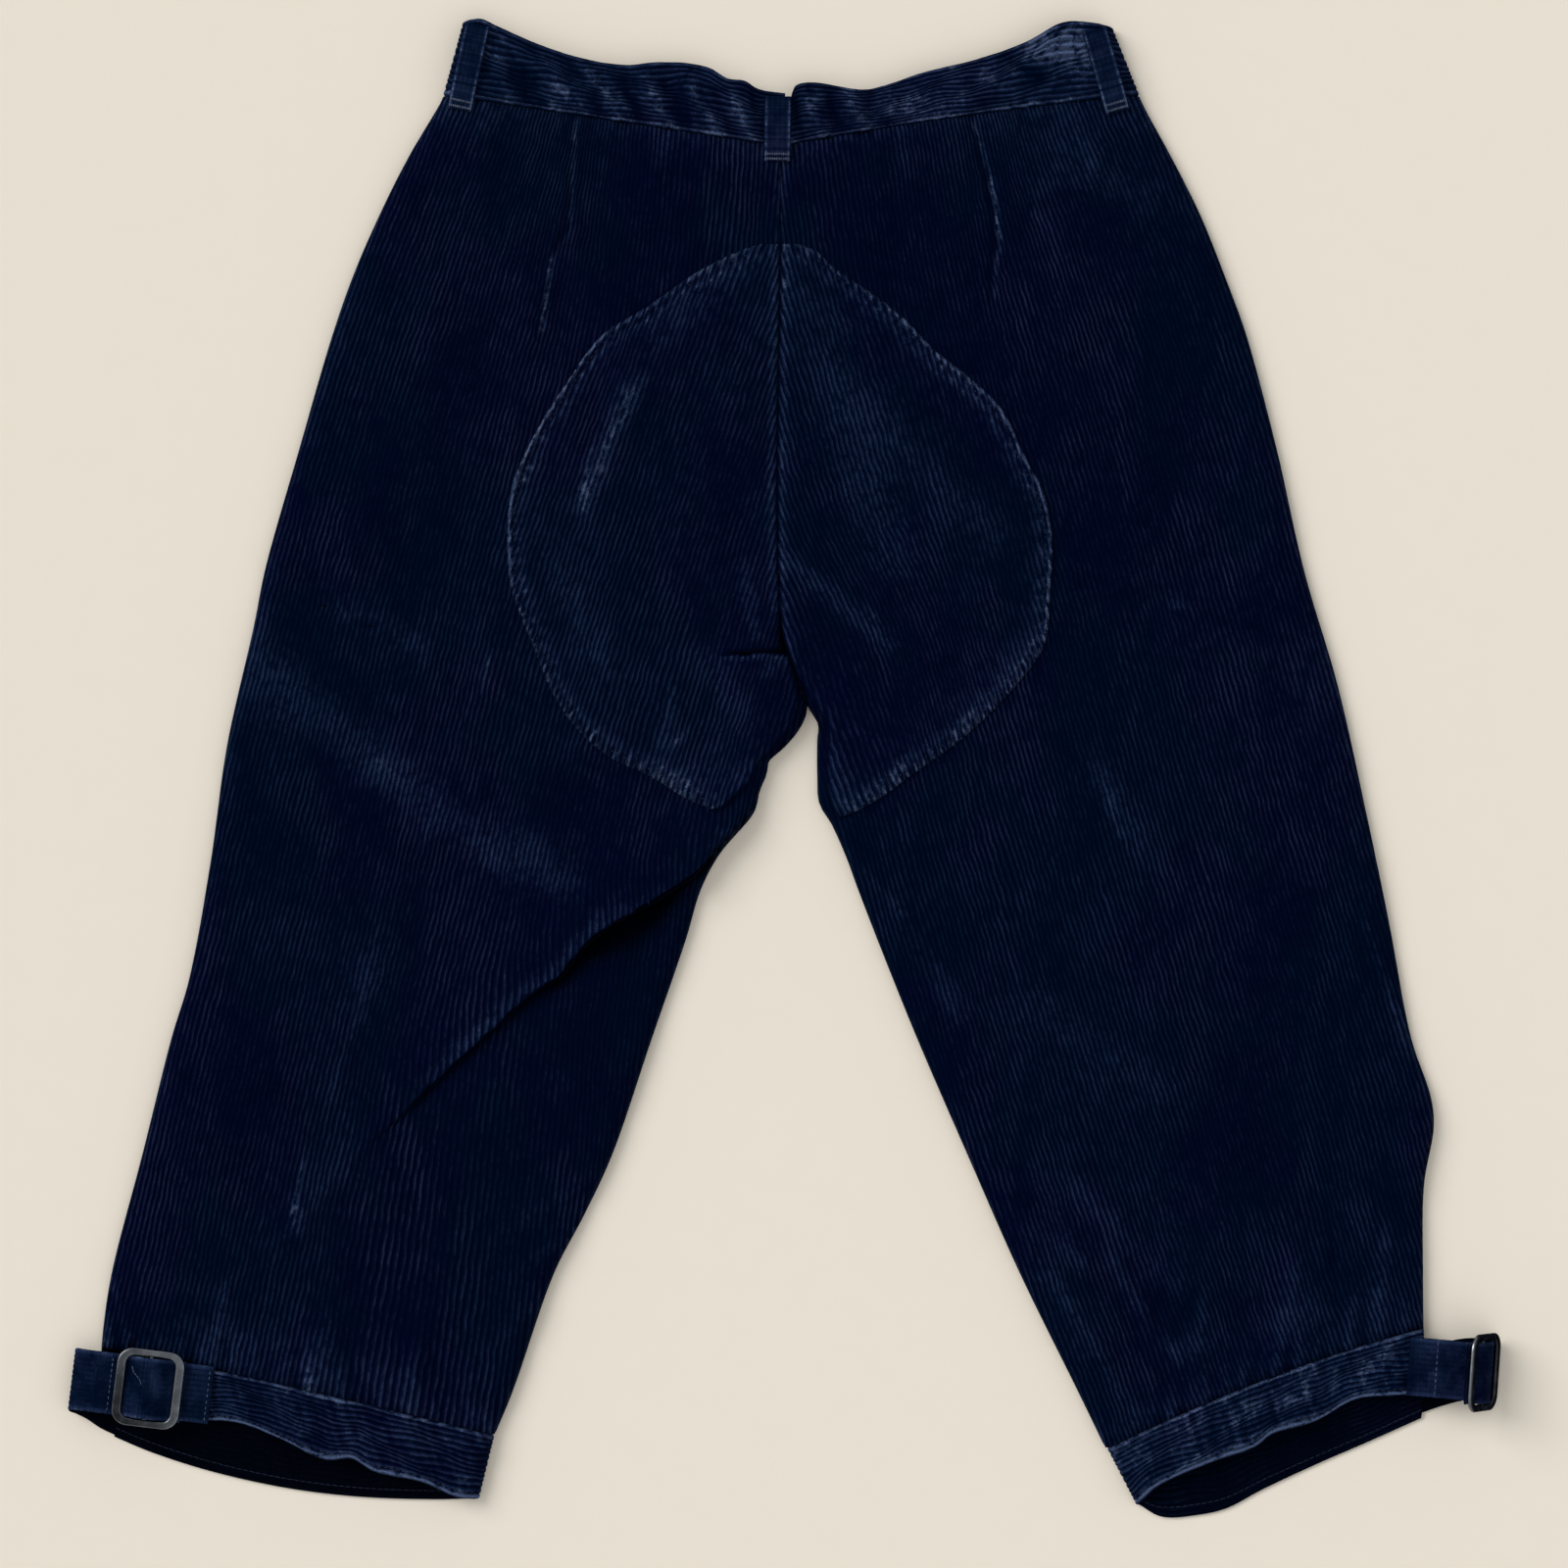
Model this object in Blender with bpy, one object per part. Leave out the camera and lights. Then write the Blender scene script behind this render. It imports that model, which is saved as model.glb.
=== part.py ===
"""Knee breeches of navy corduroy, laid flat with their back upwards.

The garment lies on its fronts. X runs from the wearer's left to the right,
Y from the knees to the waist and Z up, with the origin on the surface that
the breeches lie on. Every table is in millimetres, and one constant turns
them into metres. Each panel is a cloth wall between two skins of points.
"""
import math

import bpy
import bmesh
import numpy as np
from mathutils import Vector
from mathutils.bvhtree import BVHTree

MM = 0.001

# Cloth and seams
CLOTH = 1.6                 # wall of one layer of corduroy
BAND = 2.2                  # waistband and knee bands, cut double
PATCH = 1.5                 # seat patch, sewn on over the back
LOOP = 1.3                  # belt loops
STRAP = 1.4                 # knee straps
TAB = 1.1                   # short tabs that hold the sliders
SEAM_GAP = 0.3              # between two pieces at a seam
LAY_GAP = 0.35              # between a piece and the panel that it lies on
BAND_PROUD = 0.4            # how far a band stands above the panel beside it

# Folded edges, where the back panels turn down to the fronts
EDGE_RADIUS = 11.0          # how far in from the edge the rounding reaches
EDGE_REST = CLOTH + SEAM_GAP    # lowest point of a back panel's edge
EDGE_STEPS = (0.0, 0.6, 2.2, 5.5, EDGE_RADIUS)
MIDDLE_COLUMNS = 9
FRONT_STEPS = (0.0, 3.0)
FRONT_COLUMNS = 7
FRONT_INSET = 0.5
STEEPEST = 1.8              # most that a slope thickens the wall upright
SQUAREST = 0.4              # least share of a level step that counts as square
FOLD_FADE = 1.6             # how far past its ends a fold fades, in its half widths
LINE_SAMPLES = 120
LEAN_REACH = 3.0            # how far either side of a place a slope is read
SLOPE_REACH = 2.0
SEAM_DIP = 0.7              # hollow along the centre back seam
SEAM_REACH = 2.5

# The turn of a band round a folded edge, in degrees from the upper layer down
TURN_ANGLES = (90, 66, 44, 22, 0, -35, -65, -90)
TURN_MIDDLE = 2.6
TURN_UNDER = 3.2


def table(columns, *rows):
    """A short table as one array for each named column."""
    return dict(zip(columns.split(), np.array(rows, dtype=float).T))


# Outlines down the garment
CENTRE_BACK = ((318, -1), (75, -1), (55, 4), (32, 12.5))

SIDE_LEFT = table(
    "y x", (346, -173), (342, -174), (334, -178.5), (312, -191.5), (282, -206.5), (252, -219.5),
    (222, -230), (162, -247.5), (102, -264.5), (72, -270.5), (12, -284), (-48, -292.5),
    (-108, -303.5), (-138, -312.5), (-198, -327.5), (-258, -343), (-288, -347.5), (-310, -349))

SIDE_RIGHT = table(
    "y x", (346, 181), (342, 182.5), (334, 186.5), (312, 198.5), (282, 213.5), (252, 225.5),
    (222, 236.5), (162, 252.5), (102, 266), (42, 283.5), (-18, 297), (-78, 309.5),
    (-138, 321), (-168, 331), (-183, 332.5), (-213, 327.5), (-258, 327), (-302, 327.5))

INSEAM_LEFT = table(
    "y x", *CENTRE_BACK, (21, 9), (11, 1), (3, -7.5), (-2, -8), (-12, -12), (-22, -14.5),
    (-44, -32.5), (-62, -42), (-87, -49.5), (-138, -67), (-198, -87.5), (-228, -101.5),
    (-258, -117), (-318, -138), (-341, -147.5))

INSEAM_RIGHT = table(
    "y x", *CENTRE_BACK, (22, 18), (15, 17.5), (-5, 17.5), (-18, 18.5), (-29, 25),
    (-46, 32.5), (-61, 38), (-87, 48), (-138, 68.5), (-198, 94.5), (-258, 121),
    (-318, 150.5), (-350, 166))

# Rows across a panel: steps from the row before, heights at the side and
# the inner edge, and how far the row's middle is drawn out of line
ROW_COLUMNS = "steps side inner bow_x bow_y"

BACK_ROWS_LEFT = table(
    ROW_COLUMNS, (0, 343, 317, 0, 0), (3, 255, 240, 0, 0), (3, 155, 155, 0, 0),
    (3, 60, 75, 0, 0), (1, 30, 55, 0, 0), (2, -10, 32, -3, -8), (2, -70, 3, -6, -20),
    (2, -130, -22, -14, -50), (2, -196, -50, -25, -90), (1, -201, -54.5, -25, -90),
    (2, -222, -100, -20, -66), (3, -250, -180, -8, -28), (4, -292, -340, 0, 4))

BACK_ROWS_RIGHT = table(
    ROW_COLUMNS, (0, 343, 317, 0, 4), (3, 255, 240, 0, 0), (3, 155, 155, 0, 0),
    (3, 60, 75, 0, 0), (1, 30, 55, 0, 0), (2, -10, 32, 0, 0), (2, -55, 5, 0, 0),
    (3, -115, -60, 0, 0), (3, -175, -150, 0, 0), (3, -230, -245, 0, 4), (4, -285, -347, 0, 10))

FRONT_ROWS_LEFT = table(
    ROW_COLUMNS, (0, 343, 302, 0, 0), (1, 255, 240, 0, 0), (1, 155, 155, 0, 0),
    (1, 60, 75, 0, 0), (1, 30, 55, 0, 0), (1, -10, 32, 0, 0), (1, -30, 21, 0, 0),
    (1, -50, 3, 0, 0), (1, -75, -22, 0, 0), (1, -100, -50, 0, 0), (2, -200, -190, 0, 0),
    (2, -303, -340, 0, -24))

FRONT_ROWS_RIGHT = table(
    ROW_COLUMNS, (0, 343, 302, 0, 0), (1, 255, 240, 0, 0), (1, 155, 155, 0, 0),
    (1, 60, 75, 0, 0), (1, 30, 55, 0, 0), (1, -10, 32, 0, 0), (1, -30, 21, 0, 0),
    (1, -55, -5, 0, 0), (1, -80, -29, 0, 0), (1, -110, -60, 0, 0), (2, -195, -190, 0, 0),
    (2, -299, -346.4, 0, -20))

# How high the back lies above the surface, from waist to knees
LOFT = table(
    "y height", (390, 10.0), (300, 9.8), (200, 9.4), (70, 9.8), (-60, 9.8), (-150, 10.0),
    (-240, 9.6), (-390, 10.4))

# Folds and creases: where each begins and ends, its half width, and how
# far it rises, or sinks where the figure is below nothing
FOLD_COLUMNS = "x1 y1 x2 y2 width rise"

FOLDS_LEFT = table(
    FOLD_COLUMNS,
    (-125, 237, -151, 52, 9, 0.8), (-151, 52, -212, -110, 9, 0.9), (-212, -110, -244, -204, 9, 0.8),
    (-268, 92, -190, 67, 7, -0.9), (-254, 42, -150, -38, 20, 1.6), (-290, -60, -215, -95, 16, 1.0),
    (-102, 312, -120, 215, 6, -0.9), (-60, -110, -125, -150, 14, -1.2), (-95, -215, -150, -270, 9, -1.0),
    (-330, -215, -338, -285, 7, -0.9), (-260, -285, -215, -235, 10, 0.8))

FOLDS_RIGHT = table(
    FOLD_COLUMNS,
    (98, 322, 108, 235, 6, -0.9), (138, 97, 265, 67, 7, -0.9), (150, 40, 190, -120, 10, 0.8),
    (296, -72, 322, -151, 8, -2.0), (325, -150, 322, -205, 9, 1.4), (33, -52, 75, -100, 7, -1.6),
    (48, -60, 95, -120, 9, 1.0), (118, -232, 155, -308, 7, 1.2), (135, -230, 178, -305, 7, -1.2),
    (150, -215, 190, -290, 8, 0.9), (40, 35, 95, -20, 12, 1.0))

# Broad swells: centre, reach along X and Y, and height
SWELL_COLUMNS = "x y reach_x reach_y rise"
SWELLS_LEFT = table(
    SWELL_COLUMNS, (-222, -350, 48, 55, 3.2), (-312, -320, 36, 36, -3.2), (-150, 60, 90, 90, 1.0))
SWELLS_RIGHT = table(
    SWELL_COLUMNS, (240, -350, 50, 55, 3.2), (150, 20, 90, 90, 1.2), (318, -300, 26, 30, 0.8))

# The long slanting fold across the left leg, whose upper side stands over
# the lower one: its line, and how strong it is there
LONG_FOLD = table(
    "x y strength", (-20, -34, 1.0), (-37.5, -50, 1.0), (-68, -70, 1.0), (-101, -94, 1.0),
    (-121, -112, 1.0), (-147, -134, 0.9), (-170, -152, 0.8), (-190, -171, 0.6), (-210, -190, 0.3),
    (-225, -212, 0.0))
LONG_FOLD_LIP = 4.6
LONG_FOLD_LIP_REACH = 27.0
LONG_FOLD_FOOT = -1.1
LONG_FOLD_FOOT_REACH = 20.0
LONG_FOLD_STEP = 2.5

# The crotch: where each back panel stops being held up by the centre seam
FALL_LEFT = table("y share", (90, 0), (38, 1))
FALL_RIGHT = table("y share", (62, 0), (24, 1))

# Seat patch: its outer edge, its edge beside the seam, and its rows
PATCH_EDGE_LEFT = table(
    "y x", (267, -12), (264, -21), (254.5, -41), (234.5, -70.5), (220.5, -92.5), (197, -110),
    (167.5, -128), (143.5, -138), (118, -140.5), (92, -138.5), (68.5, -130), (29, -112),
    (7, -90.5), (-10, -64.5), (-19, -50))
PATCH_EDGE_RIGHT = table(
    "y x", (267, 8), (263, 18), (256.5, 24.5), (232.5, 58), (213, 77.5), (197, 97.5),
    (183, 111.5), (159.5, 123), (139.5, 133), (118, 137), (88.5, 136), (62.5, 133), (41, 117.5),
    (17, 93.5), (-4.5, 64), (-15.5, 49), (-21.5, 38))
PATCH_SEAM_LEFT = table(
    "y x", *CENTRE_BACK[:-1], (34, 8), (21, 4), (11, -4), (3, -12), (-2, -13), (-19, -30))
PATCH_SEAM_RIGHT = table(
    "y x", *CENTRE_BACK[:-1], (32, 16), (22, 22), (-5, 22), (-18, 24), (-25, 28))
PATCH_ROWS = "steps outer seam"
PATCH_ROWS_LEFT = table(
    PATCH_ROWS, (0, 265.5, 267), (2, 243, 250), (3, 200, 205), (4, 140, 140), (4, 75, 75),
    (2, 45, 50), (2, 20, 20), (2, -5, -4), (1, -17, -17))
PATCH_ROWS_RIGHT = table(
    PATCH_ROWS, (0, 265, 267), (2, 243, 250), (3, 200, 205), (4, 140, 140), (4, 75, 75),
    (2, 45, 50), (2, 20, 20), (2, -5, -5), (1, -18, -22))
PATCH_COLUMNS = 9
PATCH_SEAM_STEPS = (0.0, 2.2, 5.5, 11.0)
PATCH_FEEL = ((0, 0), (2.5, 0), (-2.5, 0), (0, 3.5), (0, -3.5))
PATCH_FOLD_Y = 56.0
PATCH_FOLD_RISE = 1.3
PATCH_FOLD_WIDTH = 7.0
PATCH_FOLD_REACH = 45.0

# Waistband, back half: place along the seam, and its top edge there
WAIST_LEFT = table(
    "x top_x top_y", (-1.15, 1.2, 344), (-12, -12, 346), (-22, -20, 350.5), (-30, -28, 351.5),
    (-42, -39, 357.5), (-62, -59.5, 360), (-84, -81.5, 358.5), (-106, -103, 362), (-128, -124.5, 369),
    (-152, -146, 378.5), (-162.5, -154, 382), (-173.5, -163, 381))
WAIST_RIGHT = table(
    "x top_x top_y", (-0.85, 4.5, 344), (5, 6.5, 348), (12, 12, 349.5), (26, 24, 348.5),
    (40, 37.5, 346), (50, 48, 347), (72, 71, 354.5), (99, 97.5, 361), (127, 124.5, 370.5),
    (148, 142, 380), (171, 157.5, 380), (182, 168, 378))
# Waistband, front half, which stays hidden below the back half
WAIST_FRONT_LEFT = table(
    "x top_x top_y", (-1.15, -1.15, 335.5), (-40, -38, 341), (-100, -97, 352), (-150, -143, 369),
    (-170, -160, 379), (-173.5, -163, 381))
WAIST_FRONT_RIGHT = table(
    "x top_x top_y", (-0.85, -0.85, 335.5), (40, 38, 337), (100, 97, 352), (150, 141, 371),
    (176, 162, 378), (182, 168, 378))
WAIST_STEP = 7.0
UNDER_STEP = 1.3            # step of a band's flat under layer, to that of its upper one
BAND_ROWS = 3

# Ripples pressed into the waistband beside the centre back
RIPPLE_PITCH = 17.0
RIPPLE_RISE = 0.8
RIPPLE_SLANT = 4.0
RIPPLES = table(
    "x share", (-115, 0), (-95, 0.7), (-60, 1.0), (-25, 1.0), (-12, 0), (12, 0), (20, 0.9), (46, 1.0),
    (70, 0.2), (110, 0.0))

# Knee bands: place along the seam with the leg, and the hem there
KNEE_OVER_LEFT = table(
    "x hem_x hem_y", (-303, -303, -332.5), (-277, -278, -333.5), (-256, -257, -341),
    (-232, -233, -352), (-218, -219.5, -351.5), (-205, -208, -358), (-180, -184, -363.5),
    (-160, -167, -371), (-147.5, -155.5, -373))
KNEE_UNDER_LEFT = table(
    "x hem_x hem_y", (-338, -341.7, -341.5), (-323.5, -324, -349), (-293, -293, -359),
    (-254.5, -255, -367.5), (-216.5, -219, -372), (-172, -179, -373.5), (-147.5, -155.5, -373))
KNEE_OVER_RIGHT = table(
    "x hem_x hem_y", (326.5, 326.5, -318.5), (312, 312, -319.5), (291.5, 291.5, -321.5),
    (271, 271, -332.5), (249, 249, -339), (240, 241, -345), (216.5, 219, -353), (194.5, 202, -360),
    (178, 189, -367), (165.5, 181, -375.5))
KNEE_UNDER_RIGHT = table(
    "x hem_x hem_y", (327.6, 326.2, -332), (297, 297, -345), (275, 275, -354.5), (243, 245, -368.5),
    (224, 227, -378), (206, 212, -381.5), (182, 193, -382.3), (165.5, 181, -375.5))
KNEE_STEP = 11.0

# Belt loops: top centre, foot centre and width
LOOPS = {
    "loop_left": ((-155.5, 378.5), (-164.8, 335.5), 12.5),
    "loop_centre": ((-2.5, 342.0), (-3.0, 309.5), 13.5),
    "loop_right": ((158.5, 376.0), (170.5, 334.5), 12.5),
}
LOOP_COLUMNS = 5
LOOP_ROWS = 12
LOOP_ARCH = 1.0
LOOP_FEEL = (-0.6, 0.0, 0.6)
ABOVE_ALL = 100.0           # from where a place on the surface is felt for

# Sliders: outer size, bars, and how each one lies
SLIDER_WIDE = 34.5
SLIDER_LONG = 39.5
SLIDER_CORNER = 8.0
SLIDER_INNER_CORNER = 2.0
SLIDER_SIDE_BAR = 4.6
SLIDER_END_BAR = 3.6
SLIDER_THICK = 2.2
SLIDER_MIDDLE_BAR = 2.2
SLIDER_MIDDLE_DROP = 1.4
SLIDER_CORNER_STEPS = 5
SLIDER_BAR_SIDES = 12
SLIDERS = {
    "left": {"centre": (-323.0, -315.5), "height": 14.9, "lean": -7.0, "tilt": 0.0, "out": -1},
    "right": {"centre": (356.3, -307.0), "height": 18.5, "lean": -4.0, "tilt": 60.0, "out": 1},
}

# Strap over the slider's middle bar, across the slider and off its face
STRAP_HALF = 15.6
STRAP_THROUGH = table(
    "across off", (-17, -2.2), (-14.5, -2.2), (-12, -2.0), (-9, -0.9), (-6, 0.9), (-3, 2.0), (0, 2.2),
    (3, 2.0), (6, 0.9), (9, -0.9), (12, -2.0), (14.5, -2.2), (17.5, -2.3))
# Strap between the front knee band and the slider: way out from the
# slider's centre, height, and its lower and upper edge along the bars
STRAP_REACH = {
    "left": table(
        "out z low high", (15.9, 1.1, -27.2, 3.0), (23, 1.1, -24.6, 6.5), (31, 1.2, -20.6, 10.5),
        (36.4, 2.6, -18.6, 13.5), (39.0, 5.2, -17.6, 14.5), (39.0, 8.2, -16.4, 15.4),
        (36.4, 11.1, -15.8, 15.6), (31, 12.4, -15.6, 15.6), (24, 12.7, -15.6, 15.6)),
    "right": table(
        "out z low high", (-28.0, 1.1, -24.6, 7.6), (-22.8, 1.1, -22, 10.5), (-14, 1.1, -18.6, 14),
        (-5, 1.1, -16, 15.6), (1, 1.3, -15.6, 15.6), (4.4, 2.2, -15.6, 15.6)),
}

# Tab from the back knee band round the middle bar: upper and lower run
TAB_HALF = 14.8
TAB_TURN = (100, 65, 30, 0, -30, -65, -100)
TAB_UPPER = {
    "left": table("out z", (-32, 10.95), (-14.5, 10.95), (-10.5, 11.3), (-6, 13.4), (-3.4, 14.5)),
    "right": table("out z", (-38, 14.2), (-30, 14.6), (-20, 16.6), (-11, 18.8), (-5, 19.7)),
}
TAB_LOWER = {
    "left": table("out z", (-3.4, 10.3), (-7, 9.75), (-12, 9.55), (-32, 9.55)),
    "right": table("out z", (-5, 15.9), (-11, 15.5), (-20, 14.3), (-30, 12.9), (-38, 12.75)),
}

# Fly, on the hidden front
FLY = {"left": -7.0, "right": 30.0, "top": 296.0, "foot": 110.0, "thick": 1.2}
HOOK = {"centre": (1.0, 320.0), "size": (18.0, 12.0, 1.0)}

LEGS = {
    "left": {
        "sign": -1, "side": SIDE_LEFT, "inner": INSEAM_LEFT, "seam": -SEAM_GAP / 2,
        "back": BACK_ROWS_LEFT, "front": FRONT_ROWS_LEFT, "folds": FOLDS_LEFT,
        "swells": SWELLS_LEFT, "fall": FALL_LEFT, "long_fold": True,
    },
    "right": {
        "sign": 1, "side": SIDE_RIGHT, "inner": INSEAM_RIGHT, "seam": SEAM_GAP / 2,
        "back": BACK_ROWS_RIGHT, "front": FRONT_ROWS_RIGHT, "folds": FOLDS_RIGHT,
        "swells": SWELLS_RIGHT, "fall": FALL_RIGHT, "long_fold": False,
    },
}


# Materials
def material(name, colour, roughness, metallic):
    slot = bpy.data.materials.new(name)
    slot.use_nodes = True
    shader = slot.node_tree.nodes["Principled BSDF"]
    shader.inputs["Base Color"].default_value = (*colour, 1.0)
    shader.inputs["Roughness"].default_value = roughness
    shader.inputs["Metallic"].default_value = metallic
    return slot


def corduroy(name):
    return material(name + "_corduroy", (0.012, 0.022, 0.075), 0.9, 0.0)


def gunmetal(name):
    return material(name + "_metal", (0.30, 0.29, 0.27), 0.35, 1.0)


# Closed walls from two skins of points
def add_object(name, bm, slot):
    bmesh.ops.recalc_face_normals(bm, faces=bm.faces)
    mesh = bpy.data.meshes.new(name)
    bm.to_mesh(mesh)
    bm.free()
    mesh.materials.append(slot)
    item = bpy.data.objects.new(name, mesh)
    bpy.context.scene.collection.objects.link(item)
    return item


def wall(name, outer, inner, slot):
    """A closed sheet between an outer and an inner grid of points."""
    rows, columns = len(outer), len(outer[0])
    bm = bmesh.new()
    skins = [
        [[bm.verts.new(Vector(point) * MM) for point in row] for row in grid]
        for grid in (outer, inner)
    ]
    for grid in skins:
        for row in range(rows - 1):
            for column in range(columns - 1):
                bm.faces.new((
                    grid[row][column], grid[row][column + 1],
                    grid[row + 1][column + 1], grid[row + 1][column]))
    rim = [(0, column) for column in range(columns)]
    rim += [(row, columns - 1) for row in range(1, rows)]
    rim += [(rows - 1, column) for column in range(columns - 2, -1, -1)]
    rim += [(row, 0) for row in range(rows - 2, 0, -1)]
    upper, lower = skins
    for here, after in zip(rim, rim[1:] + rim[:1]):
        bm.faces.new((
            upper[here[0]][here[1]], upper[after[0]][after[1]],
            lower[after[0]][after[1]], lower[here[0]][here[1]]))
    return add_object(name, bm, slot)


def strip(name, stations, thickness, slot, rows=1):
    """A band of even thickness, from low and high edge points along it."""
    low = np.array([station[0] for station in stations], dtype=float)
    high = np.array([station[1] for station in stations], dtype=float)
    along = np.gradient((low + high) / 2, axis=0)
    facing = np.cross(along, high - low)
    facing /= np.linalg.norm(facing, axis=1)[:, None]
    outer, inner = [], []
    for row in range(rows + 1):
        middle = low + (high - low) * row / rows
        outer.append(middle + facing * thickness / 2)
        inner.append(middle - facing * thickness / 2)
    return wall(name, outer, inner, slot)


# Lines of the cut
def across(edge, y):
    """X of an outline at a place along Y."""
    return float(np.interp(-y, -edge["y"], edge["x"]))


def edge_point(leg, which, y, inset=0.0):
    x = across(leg[which], y)
    if which == "inner":
        x += leg["seam"]
        return np.array((x + leg["sign"] * inset, y))
    return np.array((x - leg["sign"] * inset, y))


def edge_lean(edge, y):
    """How much a level step shortens when it is measured square to the edge."""
    slope = (across(edge, y + LEAN_REACH) - across(edge, y - LEAN_REACH)) / (2 * LEAN_REACH)
    return np.array((1.0, -slope)) / math.hypot(1.0, slope)


def grid_rows(rows):
    """One dictionary of named values for each row of the grid."""
    names = [name for name in rows if name != "steps"]
    result = []
    for index in range(1, len(rows["steps"])):
        count = int(rows["steps"][index])
        for step in range(count):
            share = step / count
            result.append({
                name: rows[name][index - 1] * (1 - share) + rows[name][index] * share
                for name in names})
    result.append({name: rows[name][-1] for name in names})
    return result


def row_line(leg, row, inset):
    """Points along one row of a panel, from the side to the inner edge."""
    start = edge_point(leg, "side", row["side"], inset)
    end = edge_point(leg, "inner", row["inner"], inset * fall(leg, row["inner"]))
    pull = (start + end) / 2 + np.array((row["bow_x"], row["bow_y"]))
    share = np.linspace(0, 1, LINE_SAMPLES)[:, None]
    return (1 - share) ** 2 * start + 2 * share * (1 - share) * pull + share ** 2 * end


def fall(leg, y):
    """Nothing where the inner edge is a seam, and one where it is a fold."""
    return float(np.interp(-y, -leg["fall"]["y"], leg["fall"]["share"]))


def points_at(line, distances):
    reach = np.concatenate(([0], np.cumsum(np.linalg.norm(np.diff(line, axis=0), axis=1))))
    return np.array([
        (np.interp(step, reach, line[:, 0]), np.interp(step, reach, line[:, 1]))
        for step in distances]), reach[-1]


def row_leans(leg, row, line):
    """How square the row meets the side and the inner edge."""
    first = line[2] - line[0]
    last = line[-1] - line[-3]
    side = abs(first @ edge_lean(leg["side"], row["side"])) / np.linalg.norm(first)
    inner = abs(last @ edge_lean(leg["inner"], row["inner"])) / np.linalg.norm(last)
    return max(side, SQUAREST), max(inner, SQUAREST)


def stations(length, leans, side_steps, inner_steps, middle):
    side = [step / leans[0] for step in side_steps]
    inner = [length - step / leans[1] for step in reversed(list(inner_steps))]
    between = np.linspace(side[-1], inner[0], middle + 2)[1:-1]
    return side + list(between) + inner


# Height of the back
def off_line(x, y, x1, y1, x2, y2):
    """Signed distance from a line, and the place along it from 0 to 1."""
    way = np.array((x2 - x1, y2 - y1))
    length = math.hypot(*way)
    share = ((x - x1) * way[0] + (y - y1) * way[1]) / length ** 2
    offset = ((x - x1) * way[1] - (y - y1) * way[0]) / length
    return offset, share, length


def fold_height(folds, x, y):
    height = 0.0
    for x1, y1, x2, y2, width, rise in zip(*folds.values()):
        offset, share, length = off_line(x, y, x1, y1, x2, y2)
        past = max(-share, share - 1, 0) * length
        height += rise * math.exp(-(offset / width) ** 2 - (past / (FOLD_FADE * width)) ** 2)
    return height


def swell_height(swells, x, y):
    height = 0.0
    for centre_x, centre_y, reach_x, reach_y, rise in zip(*swells.values()):
        height += rise * math.exp(-((x - centre_x) / reach_x) ** 2 - ((y - centre_y) / reach_y) ** 2)
    return height


def long_fold_height(x, y):
    """The slanting fold: a lip above its line and a foot below it."""
    nearest = None
    for index in range(len(LONG_FOLD["x"]) - 1):
        x1, x2 = LONG_FOLD["x"][index:index + 2]
        y1, y2 = LONG_FOLD["y"][index:index + 2]
        offset, share, length = off_line(x, y, x1, y1, x2, y2)
        held = min(max(share, 0), 1)
        distance = math.hypot(offset, (share - held) * length)
        if nearest is None or distance < nearest[0]:
            strength = np.interp(held, (0, 1), LONG_FOLD["strength"][index:index + 2])
            nearest = (distance, offset, strength)
    distance, offset, strength = nearest
    if offset >= 0:
        return strength * LONG_FOLD_LIP * math.exp(-(distance / LONG_FOLD_LIP_REACH) ** 2)
    foot = LONG_FOLD_FOOT * math.exp(-(distance / LONG_FOLD_FOOT_REACH) ** 2)
    share = min(distance / LONG_FOLD_STEP, 1)
    return strength * (LONG_FOLD_LIP * (1 - share) + foot * share)


def loft(leg, x, y):
    """Outer height of the back away from its folded edges."""
    height = float(np.interp(-y, -LOFT["y"], LOFT["height"]))
    height += fold_height(leg["folds"], x, y) + swell_height(leg["swells"], x, y)
    if leg["long_fold"]:
        height += long_fold_height(x, y)
    return height


def slope_factor(leg, x, y):
    reach = SLOPE_REACH
    slope_x = (loft(leg, x + reach, y) - loft(leg, x - reach, y)) / (2 * reach)
    slope_y = (loft(leg, x, y + reach) - loft(leg, x, y - reach)) / (2 * reach)
    return min(math.sqrt(1 + slope_x ** 2 + slope_y ** 2), STEEPEST)


def rounding(step):
    return math.sqrt(1 - (1 - min(step / EDGE_RADIUS, 1)) ** 2)


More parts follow.
